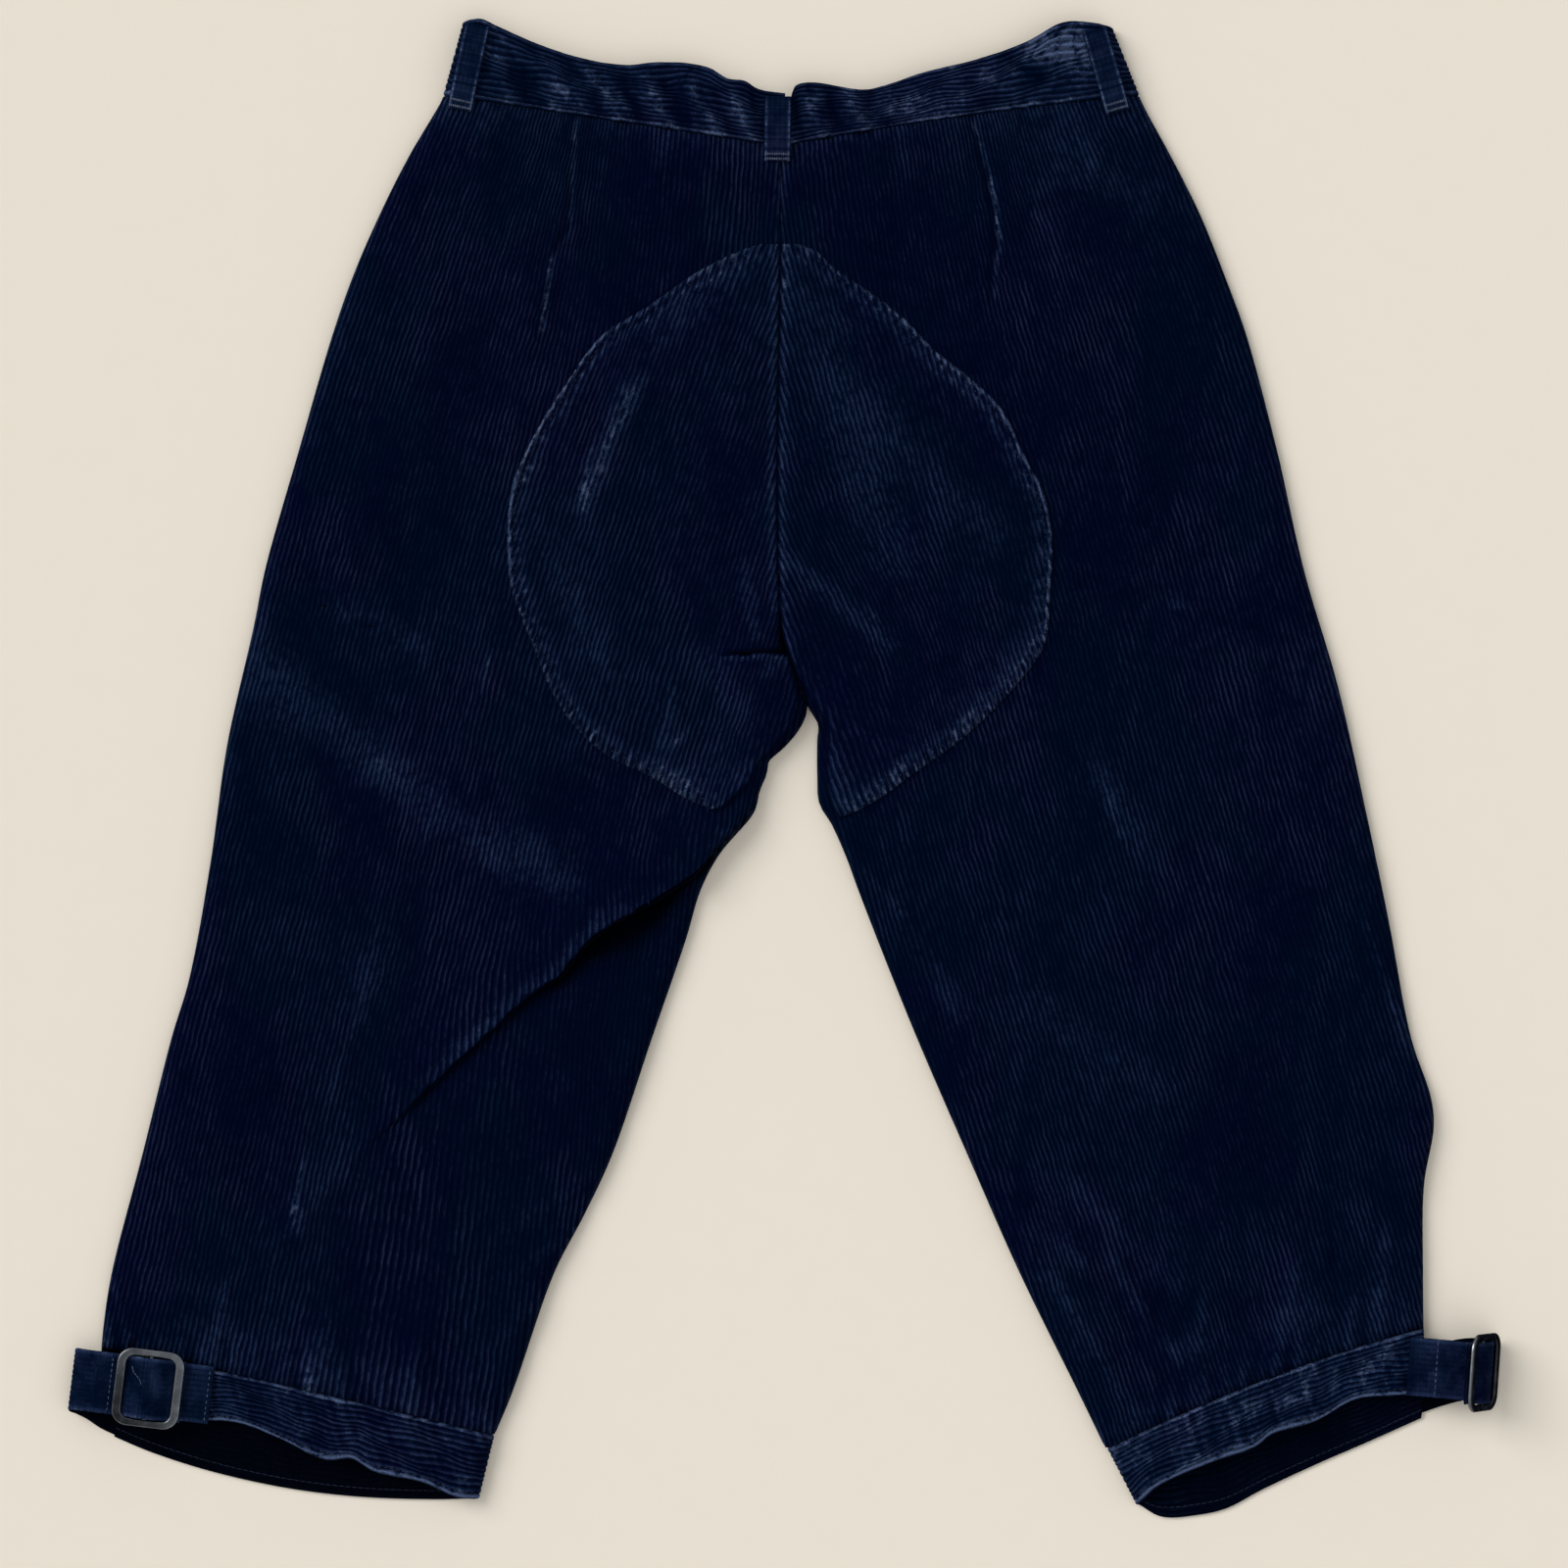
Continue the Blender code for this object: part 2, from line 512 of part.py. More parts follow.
def back_panel(name, leg):
    """A back leg from waist to knee, rounded down at its folded edges."""
    outer, inner = [], []
    drawn_in = [CLOTH + step * (1 - CLOTH / EDGE_RADIUS) for step in EDGE_STEPS]
    for row in grid_rows(leg["back"]):
        line = row_line(leg, row, 0.0)
        leans = row_leans(leg, row, line)
        folded = fall(leg, row["inner"])
        seam_steps = [
            step + folded * (drawn - step) for step, drawn in zip(EDGE_STEPS, drawn_in)]
        length = points_at(line, ())[1]
        over = stations(length, leans, EDGE_STEPS, EDGE_STEPS, MIDDLE_COLUMNS)
        under = stations(length, leans, drawn_in, seam_steps, MIDDLE_COLUMNS)
        steps = list(EDGE_STEPS) + [EDGE_RADIUS] * MIDDLE_COLUMNS + [EDGE_RADIUS] * len(EDGE_STEPS)
        back_steps = steps[::-1]
        over_points, under_points = points_at(line, over)[0], points_at(line, under)[0]
        outer_row, inner_row = [], []
        for index, (place, below) in enumerate(zip(over_points, under_points)):
            turn = rounding(steps[index]) * (1 - folded * (1 - rounding(back_steps[index])))
            dip = (1 - folded) * SEAM_DIP * math.exp(-(back_steps[index] / SEAM_REACH) ** 2)
            top = EDGE_REST + (loft(leg, *place) - EDGE_REST) * turn - dip
            thick = CLOTH * slope_factor(leg, *below)
            low = EDGE_REST + (loft(leg, *below) - thick - EDGE_REST) * turn - dip
            outer_row.append((*place, top))
            inner_row.append((*below, low))
        outer.append(outer_row)
        inner.append(inner_row)
    return wall(name, outer, inner, corduroy(name)), outer


def front_panel(name, leg):
    """A front leg, flat on the surface."""
    lower, upper = [], []
    for row in grid_rows(leg["front"]):
        line = row_line(leg, row, FRONT_INSET)
        length = points_at(line, ())[1]
        places = points_at(line, stations(
            length, row_leans(leg, row, line), FRONT_STEPS, FRONT_STEPS, FRONT_COLUMNS))[0]
        lower.append([(*place, 0.0) for place in places])
        upper.append([(*place, CLOTH) for place in places])
    return wall(name, upper, lower, corduroy(name))


# What lies on the back
def surface(grids):
    """A search tree over grids of outer points, for laying pieces on them."""
    places, faces = [], []
    for grid in grids:
        start = len(places)
        width = len(grid[0])
        places += [Vector(point) for row in grid for point in row]
        for row in range(len(grid) - 1):
            for column in range(width - 1):
                corner = start + row * width + column
                faces.append((corner, corner + 1, corner + width + 1, corner + width))
    return BVHTree.FromPolygons(places, faces)


def lay_on(tree, x, y):
    """Height of the surface under a place, or of its nearest edge."""
    hit = tree.ray_cast(Vector((x, y, ABOVE_ALL)), Vector((0, 0, -1)))[0]
    if hit is None:
        hit = tree.find_nearest(Vector((x, y, LOFT["height"][0])))[0]
    return hit.z


def patch_fold(x, y):
    """The flat fold across the foot of the left patch."""
    near = math.exp(-((y - PATCH_FOLD_Y) / PATCH_FOLD_WIDTH) ** 2)
    return PATCH_FOLD_RISE * near * math.exp(-(x / PATCH_FOLD_REACH) ** 2)


def seat_patch(name, leg, outline, seam, rows, panel, folded):
    tree = surface([panel])
    top, foot = [], []
    for row in grid_rows(rows):
        start = np.array((across(outline, row["outer"]), row["outer"]))
        end = np.array((across(seam, row["seam"]) + leg["seam"], row["seam"]))
        top_row, foot_row = [], []
        length = np.linalg.norm(end - start)
        for step in stations(length, (1, 1), [0.0], PATCH_SEAM_STEPS, PATCH_COLUMNS):
            x, y = start + (end - start) * step / length
            base = LAY_GAP + max(lay_on(tree, x + step_x, y + step_y) for step_x, step_y in PATCH_FEEL)
            if folded:
                base += patch_fold(x, y)
            foot_row.append((x, y, base))
            top_row.append((x, y, base + PATCH))
        top.append(top_row)
        foot.append(foot_row)
    return wall(name, top, foot, corduroy(name))


def belt_loop(name, tree):
    """A strip over the waistband, sewn down at its top and its foot."""
    top_centre, foot_centre, width = LOOPS[name]
    top_centre, foot_centre = np.array(top_centre), np.array(foot_centre)
    way = (foot_centre - top_centre) / np.linalg.norm(foot_centre - top_centre)
    square = np.array((-way[1], way[0]))
    upper, lower = [], []
    for row in range(LOOP_ROWS + 1):
        share = row / LOOP_ROWS
        centre = top_centre + (foot_centre - top_centre) * share
        upper_row, lower_row = [], []
        for column in range(LOOP_COLUMNS + 1):
            x, y = centre + square * width * (column / LOOP_COLUMNS - 0.5)
            base = max(
                lay_on(tree, x + step * square[0], y + step * square[1]) for step in LOOP_FEEL)
            base += LAY_GAP + LOOP_ARCH * math.sin(math.pi * share) ** 0.5
            lower_row.append((x, y, base))
            upper_row.append((x, y, base + LOOP))
        upper.append(upper_row)
        lower.append(lower_row)
    return wall(name, upper, lower, corduroy(name))


# Bands, each running round one folded edge from the back to the front
def seam_line(leg, rows, index, x, gap):
    """Y of a panel's first or last row at a place along X."""
    row = {name: rows[name][index] for name in rows}
    line = row_line(leg, row, 0.0)
    order = np.argsort(line[:, 0])
    return float(np.interp(x, line[order, 0], line[order, 1])) + gap


def band_point(edges, names, x):
    order = np.argsort(edges["x"])
    return tuple(float(np.interp(x, edges["x"][order], edges[name][order])) for name in names)


def ripple(x):
    share = float(np.interp(x, RIPPLES["x"], RIPPLES["share"]))
    return RIPPLE_RISE * share * math.sin(2 * math.pi * x / RIPPLE_PITCH)


def turn_heights(top):
    """Way in from the folded edge and height at each angle of the turn."""
    half = BAND / 2
    result = []
    for angle in TURN_ANGLES:
        bend = math.radians(angle)
        if angle >= 0:
            reach = half + (EDGE_RADIUS - half) * (1 - math.cos(bend))
            height = TURN_MIDDLE + (top - TURN_MIDDLE) * math.sin(bend)
        else:
            reach = half + (TURN_UNDER - half) * (1 - math.cos(bend))
            height = TURN_MIDDLE + (TURN_MIDDLE - half) * math.sin(bend)
        result.append((reach, height))
    return result


def band_stations(over, under, edge_x, inward, first_x, last_x, step, top, wave):
    """Edge points of a band: upper layer, turn round the fold, lower layer."""
    result = []
    turn_x = edge_x + inward * EDGE_RADIUS
    count = max(int(abs(first_x - turn_x) / step), 2)
    for x in np.linspace(first_x, turn_x, count + 1)[:-1]:
        low, high = over(x)
        result.append((
            (*low, top(*low) + wave(x)), (*high, top(*high) + wave(x + RIPPLE_SLANT))))
    low, high = over(turn_x)
    for (reach, low_z), (_, high_z) in zip(turn_heights(top(*low)), turn_heights(top(*high))):
        side = over if low_z >= TURN_MIDDLE else under
        low, high = side(edge_x + inward * reach)
        result.append(((*low, low_z), (*high, high_z)))
    count = max(int(abs(last_x - edge_x) / (UNDER_STEP * step)), 2)
    for x in np.linspace(edge_x + inward * TURN_UNDER, last_x, count + 1)[1:]:
        low, high = under(x)
        result.append(((*low, BAND / 2), (*high, BAND / 2)))
    return result


def waistband(name, leg, over_edges, under_edges):
    ends = ("top_x", "top_y")

    def over(x):
        return (x, seam_line(leg, leg["back"], 0, x, SEAM_GAP)), band_point(over_edges, ends, x)

    def under(x):
        return (x, seam_line(leg, leg["front"], 0, x, SEAM_GAP)), band_point(under_edges, ends, x)

    def top(x, y):
        return loft(leg, x, y) + BAND_PROUD - BAND / 2

    first_x = over_edges["x"][0]
    places = band_stations(
        over, under, over_edges["x"][-1], -leg["sign"], first_x, first_x, WAIST_STEP, top, ripple)
    upper = [
        np.array((low, high)) for low, high in places if min(low[2], high[2]) > TURN_MIDDLE]
    face = np.array((0, 0, BAND / 2))
    grid = [
        [low + (high - low) * share + face for low, high in upper] for share in (0, 0.5, 1)]
    return strip(name, places, BAND, corduroy(name), rows=BAND_ROWS), grid


def knee_band(name, leg, over_edges, under_edges):
    ends = ("hem_x", "hem_y")

    def over(x):
        return (x, seam_line(leg, leg["back"], -1, x, -SEAM_GAP)), band_point(over_edges, ends, x)

    def under(x):
        return (x, seam_line(leg, leg["front"], -1, x, -SEAM_GAP)), band_point(under_edges, ends, x)

    def top(x, y):
        return loft(leg, x, y) + BAND_PROUD - BAND / 2

    places = band_stations(
        over, under, over_edges["x"][-1], leg["sign"], over_edges["x"][0], under_edges["x"][0],
        KNEE_STEP, top, lambda x: 0.0)
    return strip(name, places, BAND, corduroy(name), rows=BAND_ROWS)


# Sliders with the strap and the tab that they join
def slider_place(slider, out, z, along):
    """A point of the slider's upright plane, moved along its bars."""
    lean = math.radians(slider["lean"])
    centre = slider["centre"]
    bars = np.array((-math.sin(lean), math.cos(lean)))
    way = np.array((math.cos(lean), math.sin(lean))) * slider["out"]
    x, y = np.array(centre) + way * out + bars * along
    return (x, y, z)


def on_slider(slider, across_slider, off):
    """Way out and height of a point given across and off the slider."""
    tilt = math.radians(slider["tilt"])
    out = -across_slider * math.cos(tilt) + off * math.sin(tilt)
    z = slider["height"] + across_slider * math.sin(tilt) + off * math.cos(tilt)
    return out, z


def strap(name, side):
    slider = SLIDERS[side]
    path = []
    for out, z, low, high in zip(*STRAP_REACH[side].values()):
        path.append((slider_place(slider, out, z, low), slider_place(slider, out, z, high)))
    for across_slider, off in zip(*STRAP_THROUGH.values()):
        out, z = on_slider(slider, across_slider, off)
        path.append((
            slider_place(slider, out, z, -STRAP_HALF), slider_place(slider, out, z, STRAP_HALF)))
    return strip(name, path, STRAP, corduroy(name))


def slider_tab(name, side):
    slider = SLIDERS[side]
    bar_out, bar_z = on_slider(slider, 0.0, -SLIDER_MIDDLE_DROP)
    radius = SLIDER_MIDDLE_BAR / 2 + SEAM_GAP + TAB / 2
    runs = list(zip(*TAB_UPPER[side].values()))
    for angle in TAB_TURN:
        turn = math.radians(angle)
        runs.append((bar_out + radius * math.cos(turn), bar_z + radius * math.sin(turn)))
    runs += list(zip(*TAB_LOWER[side].values()))
    path = [
        (slider_place(slider, out, z, -TAB_HALF), slider_place(slider, out, z, TAB_HALF))
        for out, z in runs]
    return strip(name, path, TAB, corduroy(name))


def corner_outline(wide, long, corner):
    """A rounded rectangle as points across and along the slider."""
    points = []
    for sign_a, sign_b, start in ((1, 1, 0), (-1, 1, 90), (-1, -1, 180), (1, -1, 270)):
        for step in range(SLIDER_CORNER_STEPS + 1):
            turn = math.radians(start + 90 * step / SLIDER_CORNER_STEPS)
            points.append((
                sign_a * (wide / 2 - corner) + corner * math.cos(turn),
                sign_b * (long / 2 - corner) + corner * math.sin(turn)))
    return points


def slider_ring():
    """The flat frame of the slider about its own centre."""
    bm = bmesh.new()
    outer = corner_outline(SLIDER_WIDE, SLIDER_LONG, SLIDER_CORNER)
    inner = corner_outline(
        SLIDER_WIDE - 2 * SLIDER_SIDE_BAR, SLIDER_LONG - 2 * SLIDER_END_BAR, SLIDER_INNER_CORNER)
    half = SLIDER_THICK / 2
    rings = [
        [bm.verts.new(Vector((a, b, z)) * MM) for a, b in outline]
        for outline, z in ((outer, -half), (outer, half), (inner, half), (inner, -half))]
    count = len(outer)
    for ring, after in zip(rings, rings[1:] + rings[:1]):
        for index in range(count):
            bm.faces.new((
                ring[index], ring[(index + 1) % count], after[(index + 1) % count], after[index]))
    return bm


def slider(name, side):
    """Frame and middle bar joined into one piece, leant and tilted in place."""
    frame = slider_ring()
    item = add_object(name, frame, gunmetal(name))
    bpy.ops.mesh.primitive_cylinder_add(
        vertices=SLIDER_BAR_SIDES, radius=SLIDER_MIDDLE_BAR / 2 * MM,
        depth=(SLIDER_LONG - SLIDER_END_BAR) * MM,
        location=(0, 0, -SLIDER_MIDDLE_DROP * MM), rotation=(math.pi / 2, 0, 0))
    bar = bpy.context.object
    bar.name = name + "_bar_guide"
    bar.hide_render = True
    bar.display_type = "WIRE"
    join = item.modifiers.new("join", "BOOLEAN")
    join.operation = "UNION"
    join.object = bar
    place = SLIDERS[side]
    holder = bpy.data.objects.new(name + "_place", None)
    bpy.context.scene.collection.objects.link(holder)
    for child in (item, bar):
        child.parent = holder
    turn = math.radians(-place["tilt"] if place["out"] < 0 else place["tilt"])
    holder.location = (place["centre"][0] * MM, place["centre"][1] * MM, place["height"] * MM)
    holder.rotation_euler = (0, turn, math.radians(place["lean"]))
    return item


# The hidden front's own pieces
def block(name, corners, slot):
    low, high = corners
    grid = [[(low[0], low[1]), (high[0], low[1])], [(low[0], high[1]), (high[0], high[1])]]
    upper = [[(*point, high[2]) for point in row] for row in grid]
    lower = [[(*point, low[2]) for point in row] for row in grid]
    return wall(name, upper, lower, slot)


def fly_shield():
    low = (FLY["left"], FLY["foot"], CLOTH + SEAM_GAP)
    high = (FLY["right"], FLY["top"], CLOTH + SEAM_GAP + FLY["thick"])
    return block("fly_shield", (low, high), corduroy("fly_shield"))


def waist_hook():
    centre, size = HOOK["centre"], HOOK["size"]
    base = BAND + SEAM_GAP
    low = (centre[0] - size[0] / 2, centre[1] - size[1] / 2, base)
    high = (centre[0] + size[0] / 2, centre[1] + size[1] / 2, base + size[2])
    return block("waist_hook", (low, high), gunmetal("waist_hook"))


def build():
    for item in list(bpy.data.objects):
        bpy.data.objects.remove(item)
    left, right = LEGS["left"], LEGS["right"]
    left_back = back_panel("back_left", left)[1]
    right_back = back_panel("back_right", right)[1]
    front_panel("front_left", left)
    front_panel("front_right", right)
    left_waist = waistband("waistband_left", left, WAIST_LEFT, WAIST_FRONT_LEFT)[1]
    right_waist = waistband("waistband_right", right, WAIST_RIGHT, WAIST_FRONT_RIGHT)[1]
    seat_patch(
        "seat_patch_left", left, PATCH_EDGE_LEFT, PATCH_SEAM_LEFT, PATCH_ROWS_LEFT, left_back, True)
    seat_patch(
        "seat_patch_right", right, PATCH_EDGE_RIGHT, PATCH_SEAM_RIGHT, PATCH_ROWS_RIGHT,
        right_back, False)
    knee_band("knee_band_left", left, KNEE_OVER_LEFT, KNEE_UNDER_LEFT)
    knee_band("knee_band_right", right, KNEE_OVER_RIGHT, KNEE_UNDER_RIGHT)
    top_of_back = surface([left_back, right_back, left_waist, right_waist])
    for name in LOOPS:
        belt_loop(name, top_of_back)
    for side in SLIDERS:
        strap("strap_" + side, side)
        slider_tab("slider_tab_" + side, side)
        slider("slider_" + side, side)
    fly_shield()
    waist_hook()


build()
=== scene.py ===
"""Looks of the navy corduroy knee breeches, laid flat with their back upwards.

Every table is in millimetres, and one constant turns them into metres. X runs
from the wearer's left to the right, Y from the knees to the waist and Z up.
Each panel is a closed shell whose columns of points follow the cloth's wales.
"""
import math

import bpy
import bmesh
import numpy as np
from mathutils import Matrix, Vector, geometry


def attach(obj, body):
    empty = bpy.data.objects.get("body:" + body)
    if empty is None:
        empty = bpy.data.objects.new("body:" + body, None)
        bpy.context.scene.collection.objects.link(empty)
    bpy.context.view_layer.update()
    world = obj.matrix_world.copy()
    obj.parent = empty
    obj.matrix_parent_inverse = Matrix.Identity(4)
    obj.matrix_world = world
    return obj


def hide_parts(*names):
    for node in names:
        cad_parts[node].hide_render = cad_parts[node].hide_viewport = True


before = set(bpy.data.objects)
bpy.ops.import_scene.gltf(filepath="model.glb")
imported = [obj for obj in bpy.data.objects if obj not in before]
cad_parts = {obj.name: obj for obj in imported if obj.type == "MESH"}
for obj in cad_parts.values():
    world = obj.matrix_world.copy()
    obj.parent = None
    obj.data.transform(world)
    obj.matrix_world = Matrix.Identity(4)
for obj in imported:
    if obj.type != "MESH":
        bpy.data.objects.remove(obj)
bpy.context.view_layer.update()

MM = 0.001

# Cloth and seams, as in the solids
CLOTH = 1.6
BAND = 2.2
PATCH = 1.3
LOOP = 1.3
STRAP = 1.4
TAB = 1.1
SEAM_GAP = 0.3
BAND_PROUD = 0.4
EDGE_RADIUS = 11.0
EDGE_REST = CLOTH + SEAM_GAP
SEAM_DIP = 0.9
SEAM_REACH = 2.5
FOLD_FADE = 1.6

# Wales: their pitch, height, and the places of the columns across one wale
WALE = 2.6
WALE_RISE = 0.55
WALE_PHASES = np.array((0.0, 0.15, 0.34, 0.66, 0.85))
WALE_SHAPE = np.array((0.0, 0.66, 1.0, 1.0, 0.66))
COARSE_PHASES = np.array((0.0, 0.3, 0.7))
COARSE_SHAPE = np.array((0.0, 1.0, 1.0))


def table(columns, *rows):
    """A short table as one array for each named column."""
    return dict(zip(columns.split(), np.array(rows, dtype=float).T))


def turns(count, reach, seed):
    """Phases, ways and lengths of a few slow waves, for cloth that is never quite even."""
    luck = np.random.default_rng(seed)
    angle = luck.uniform(0, 2 * math.pi, count)
    length = luck.uniform(0.6, 1.6, count) * reach
    return angle, length, luck.uniform(0, 2 * math.pi, count)


def waver(x, y, waves):
    """Slow uneven waves over a place, from about -1 to 1."""
    total = 0.0
    for angle, length, start in zip(*waves):
        along = x * math.cos(angle) + y * math.sin(angle)
        total = total + np.sin(2 * math.pi * along / length + start)
    return total / math.sqrt(len(waves[0]) * 2)


# Outlines down the garment
CENTRE_BACK = ((318, -1), (75, -1), (55, 4), (32, 12.5))

SIDE_LEFT = table(
    "y x", (346, -173), (342, -174), (334, -178.5), (312, -191.5), (282, -206.5), (252, -219.5),
    (222, -230), (162, -247.5), (102, -264.5), (72, -270.5), (12, -284), (-48, -292.5),
    (-108, -303.5), (-138, -312.5), (-198, -327.5), (-258, -343), (-288, -347.5), (-310, -349))

SIDE_RIGHT = table(
    "y x", (346, 181), (342, 182.5), (334, 186.5), (312, 198.5), (282, 213.5), (252, 225.5),
    (222, 236.5), (162, 252.5), (102, 266), (42, 283.5), (-18, 297), (-78, 309.5),
    (-138, 321), (-168, 331), (-183, 332.5), (-213, 327.5), (-258, 327), (-302, 327.5))

INSEAM_LEFT = table(
    "y x", *CENTRE_BACK, (21, 9), (11, 1), (3, -7.5), (-2, -8), (-12, -12), (-22, -14.5),
    (-44, -32.5), (-62, -42), (-87, -49.5), (-138, -67), (-198, -87.5), (-228, -101.5),
    (-258, -117), (-318, -138), (-341, -147.5))

INSEAM_RIGHT = table(
    "y x", *CENTRE_BACK, (22, 18), (15, 17.5), (-5, 17.5), (-18, 18.5), (-29, 25),
    (-46, 32.5), (-61, 38), (-87, 48), (-138, 68.5), (-198, 94.5), (-258, 121),
    (-318, 150.5), (-350, 166))

LOFT = table(
    "y height", (390, 10.0), (300, 9.8), (200, 9.4), (70, 9.8), (-60, 9.8), (-150, 10.0),
    (-240, 9.6), (-390, 10.4))

# Folds and creases of the cloth: ends, half width and rise
FOLD_COLUMNS = "x1 y1 x2 y2 width rise"

FOLDS_LEFT = table(
    FOLD_COLUMNS,
    (-125, 237, -151, 52, 9, 0.8), (-151, 52, -212, -110, 9, 0.9), (-212, -110, -244, -204, 9, 0.8),
    (-268, 92, -190, 67, 7, -0.9), (-254, 42, -150, -38, 20, 1.6), (-290, -60, -215, -95, 16, 1.0),
    (-102, 312, -120, 215, 6, -0.9), (-60, -110, -125, -150, 14, -1.2), (-95, -215, -150, -270, 9, -1.0),
    (-330, -215, -338, -285, 7, -0.9), (-260, -285, -215, -235, 10, 0.8))

FOLDS_RIGHT = table(
    FOLD_COLUMNS,
    (98, 322, 108, 235, 6, -0.9), (138, 97, 265, 67, 7, -0.9), (150, 40, 190, -120, 10, 0.8),
    (296, -72, 322, -151, 8, -2.0), (325, -150, 322, -205, 9, 1.4), (33, -52, 75, -100, 7, -1.6),
    (48, -60, 95, -120, 9, 1.0), (118, -232, 155, -308, 7, 1.2), (135, -230, 178, -305, 7, -1.2),
    (150, -215, 190, -290, 8, 0.9), (40, 35, 95, -20, 12, 1.0))

# Small creases and puckers that only the cloth itself shows
CREASE_STRENGTH = 1.6
CREASES_LEFT = table(
    FOLD_COLUMNS,
    (-345, -268, -330, -288, 3.5, -1.6), (-342, -262, -334, -292, 2.5, 1.2), (-338, -272, -322, -300, 3, 0.9),
    (-290, -298, -283, -262, 4, 0.9), (-262, -305, -268, -272, 4, -0.9), (-240, -316, -232, -282, 5, 0.9),
    (-214, -322, -222, -290, 4, -0.8), (-192, -325, -186, -292, 4, 0.8), (-172, -328, -178, -300, 4, -0.8),
    (-158, -332, -160, -305, 4, 0.7), (-268, 92, -235, 84, 3, -0.9), (-216, 74, -192, 66, 3, -0.8),
    (-256, 100, -205, 82, 5, 0.6), (-150, -45, -120, -60, 8, 0.8), (-30, -50, -52, -62, 5, 0.8),
    (-98, -232, -142, -262, 4, 0.8), (-90, -205, -140, -235, 5, 0.8), (-112, -262, -150, -296, 5, 0.8),
    (-60, 318, -66, 300, 5, 0.6), (-36, 314, -30, 296, 4, -0.6), (-150, 334, -156, 306, 5, 0.5),
    (-225, -200, -262, -252, 9, 0.9), (-300, 10, -262, -8, 6, 0.5), (-36, -34, -22, -28, 4, 0.9))

CREASES_RIGHT = table(
    FOLD_COLUMNS,
    (168, -252, 200, -300, 4, 0.9), (140, -262, 172, -318, 4, 0.9), (152, -240, 186, -300, 3.5, -0.8),
    (208, -300, 216, -268, 4, 0.8), (232, -292, 226, -262, 4, -0.8), (256, -286, 262, -252, 5, 0.9),
    (284, -278, 280, -246, 4, -0.7), (304, -276, 308, -238, 4, 0.8), (196, -312, 190, -280, 4, -0.9),
    (140, 97, 180, 86, 3, -0.8), (214, 80, 262, 67, 3, -0.8), (150, 104, 236, 82, 5, 0.6),
    (30, -40, 60, -72, 4, 0.9), (36, -36, 78, -88, 4, -0.8), (52, -76, 88, -126, 5, 0.8),
    (296, -76, 318, -142, 4, 1.0), (150, -214, 200, -262, 8, 0.9), (128, -205, 150, -250, 6, 0.8),
    (62, 318, 66, 298, 5, 0.6), (36, 312, 30, 296, 4, -0.6), (150, 330, 160, 304, 5, 0.6),
    (132, -120, 190, -160, 12, 0.8), (165, -5, 200, -60, 8, 0.7), (210, -215, 262, -262, 12, 0.7))

SWELL_COLUMNS = "x y reach_x reach_y rise"
SWELLS_LEFT = table(
    SWELL_COLUMNS, (-222, -350, 48, 55, 3.2), (-312, -320, 36, 36, -3.2), (-150, 60, 90, 90, 1.0))
SWELLS_RIGHT = table(
    SWELL_COLUMNS, (240, -350, 50, 55, 3.2), (150, 20, 90, 90, 1.2), (318, -300, 26, 30, 0.8))

# The long slanting fold across the left leg
LONG_FOLD = table(
    "x y strength", (-24, -29, 1.0), (-41.5, -45.5, 1.0), (-72, -65, 1.0), (-93, -76, 1.0),
    (-107, -88, 1.0), (-116, -101, 1.0), (-131, -110, 1.0), (-151, -129, 0.85), (-172, -149, 0.65),
    (-191, -170, 0.4), (-211, -189, 0.15), (-225, -212, 0.0))
LONG_FOLD_LIP = 4.6
LONG_FOLD_LIP_REACH = 27.0
LONG_FOLD_FOOT = -1.1
LONG_FOLD_FOOT_REACH = 20.0
LONG_FOLD_OVER_REACH = 10.0
# How the cloth turns under at the fold: way beyond the line in the flat
# cloth, how far it is carried over, and its share of the drop
LONG_FOLD_TURN = table(
    "beyond over drop", (0, 5.2, 0.0), (0.8, 5.9, 0.22), (1.6, 4.6, 0.55), (2.4, 1.6, 0.9), (3.2, 0, 1.0),
    (4.6, 0, 1.0))

FOLD_CLEAR = 2.5

FALL_LEFT = table("y share", (90, 0), (38, 1))
FALL_RIGHT = table("y share", (62, 0), (24, 1))

# How the wales lean from upright, in degrees, at places on each panel
LEAN_COLUMNS = "x y lean"
LEANS_LEFT = table(
    LEAN_COLUMNS, (-185, 300, 22), (-150, 320, 20), (-205, 255, 21), (-165, 250, 19), (-220, 205, 18),
    (-165, 200, 16), (-60, 320, 5), (-15, 320, 3), (-70, 285, 6), (-25, 285, 5), (-95, 240, 10),
    (-30, 200, 12), (-240, 130, 15), (-150, 120, 15), (-60, 100, 15), (-260, 30, 14), (-150, 0, 14),
    (-50, 0, 14), (-290, -100, 14), (-200, -80, 14), (-310, -220, 13), (-240, -200, 13),
    (-330, -300, 12), (-250, -300, 12), (-75, -120, 6), (-110, -170, 6), (-110, -240, 6),
    (-160, -220, 7), (-150, -310, 7), (-190, -300, 9))
LEANS_RIGHT = table(
    LEAN_COLUMNS, (190, 300, -23), (150, 320, -21), (210, 255, -21), (160, 260, -20), (225, 210, -18),
    (160, 200, -18), (60, 320, -8), (12, 320, -6), (70, 285, -10), (20, 285, -8), (95, 240, -14),
    (30, 200, -14), (240, 130, -16), (150, 120, -16), (60, 100, -16), (270, 30, -16), (150, 0, -16),
    (50, 0, -16), (290, -100, -17), (200, -80, -17), (100, -120, -17), (310, -220, -16),
    (240, -200, -17), (160, -200, -18), (310, -290, -18), (230, -310, -20), (170, -310, -20))
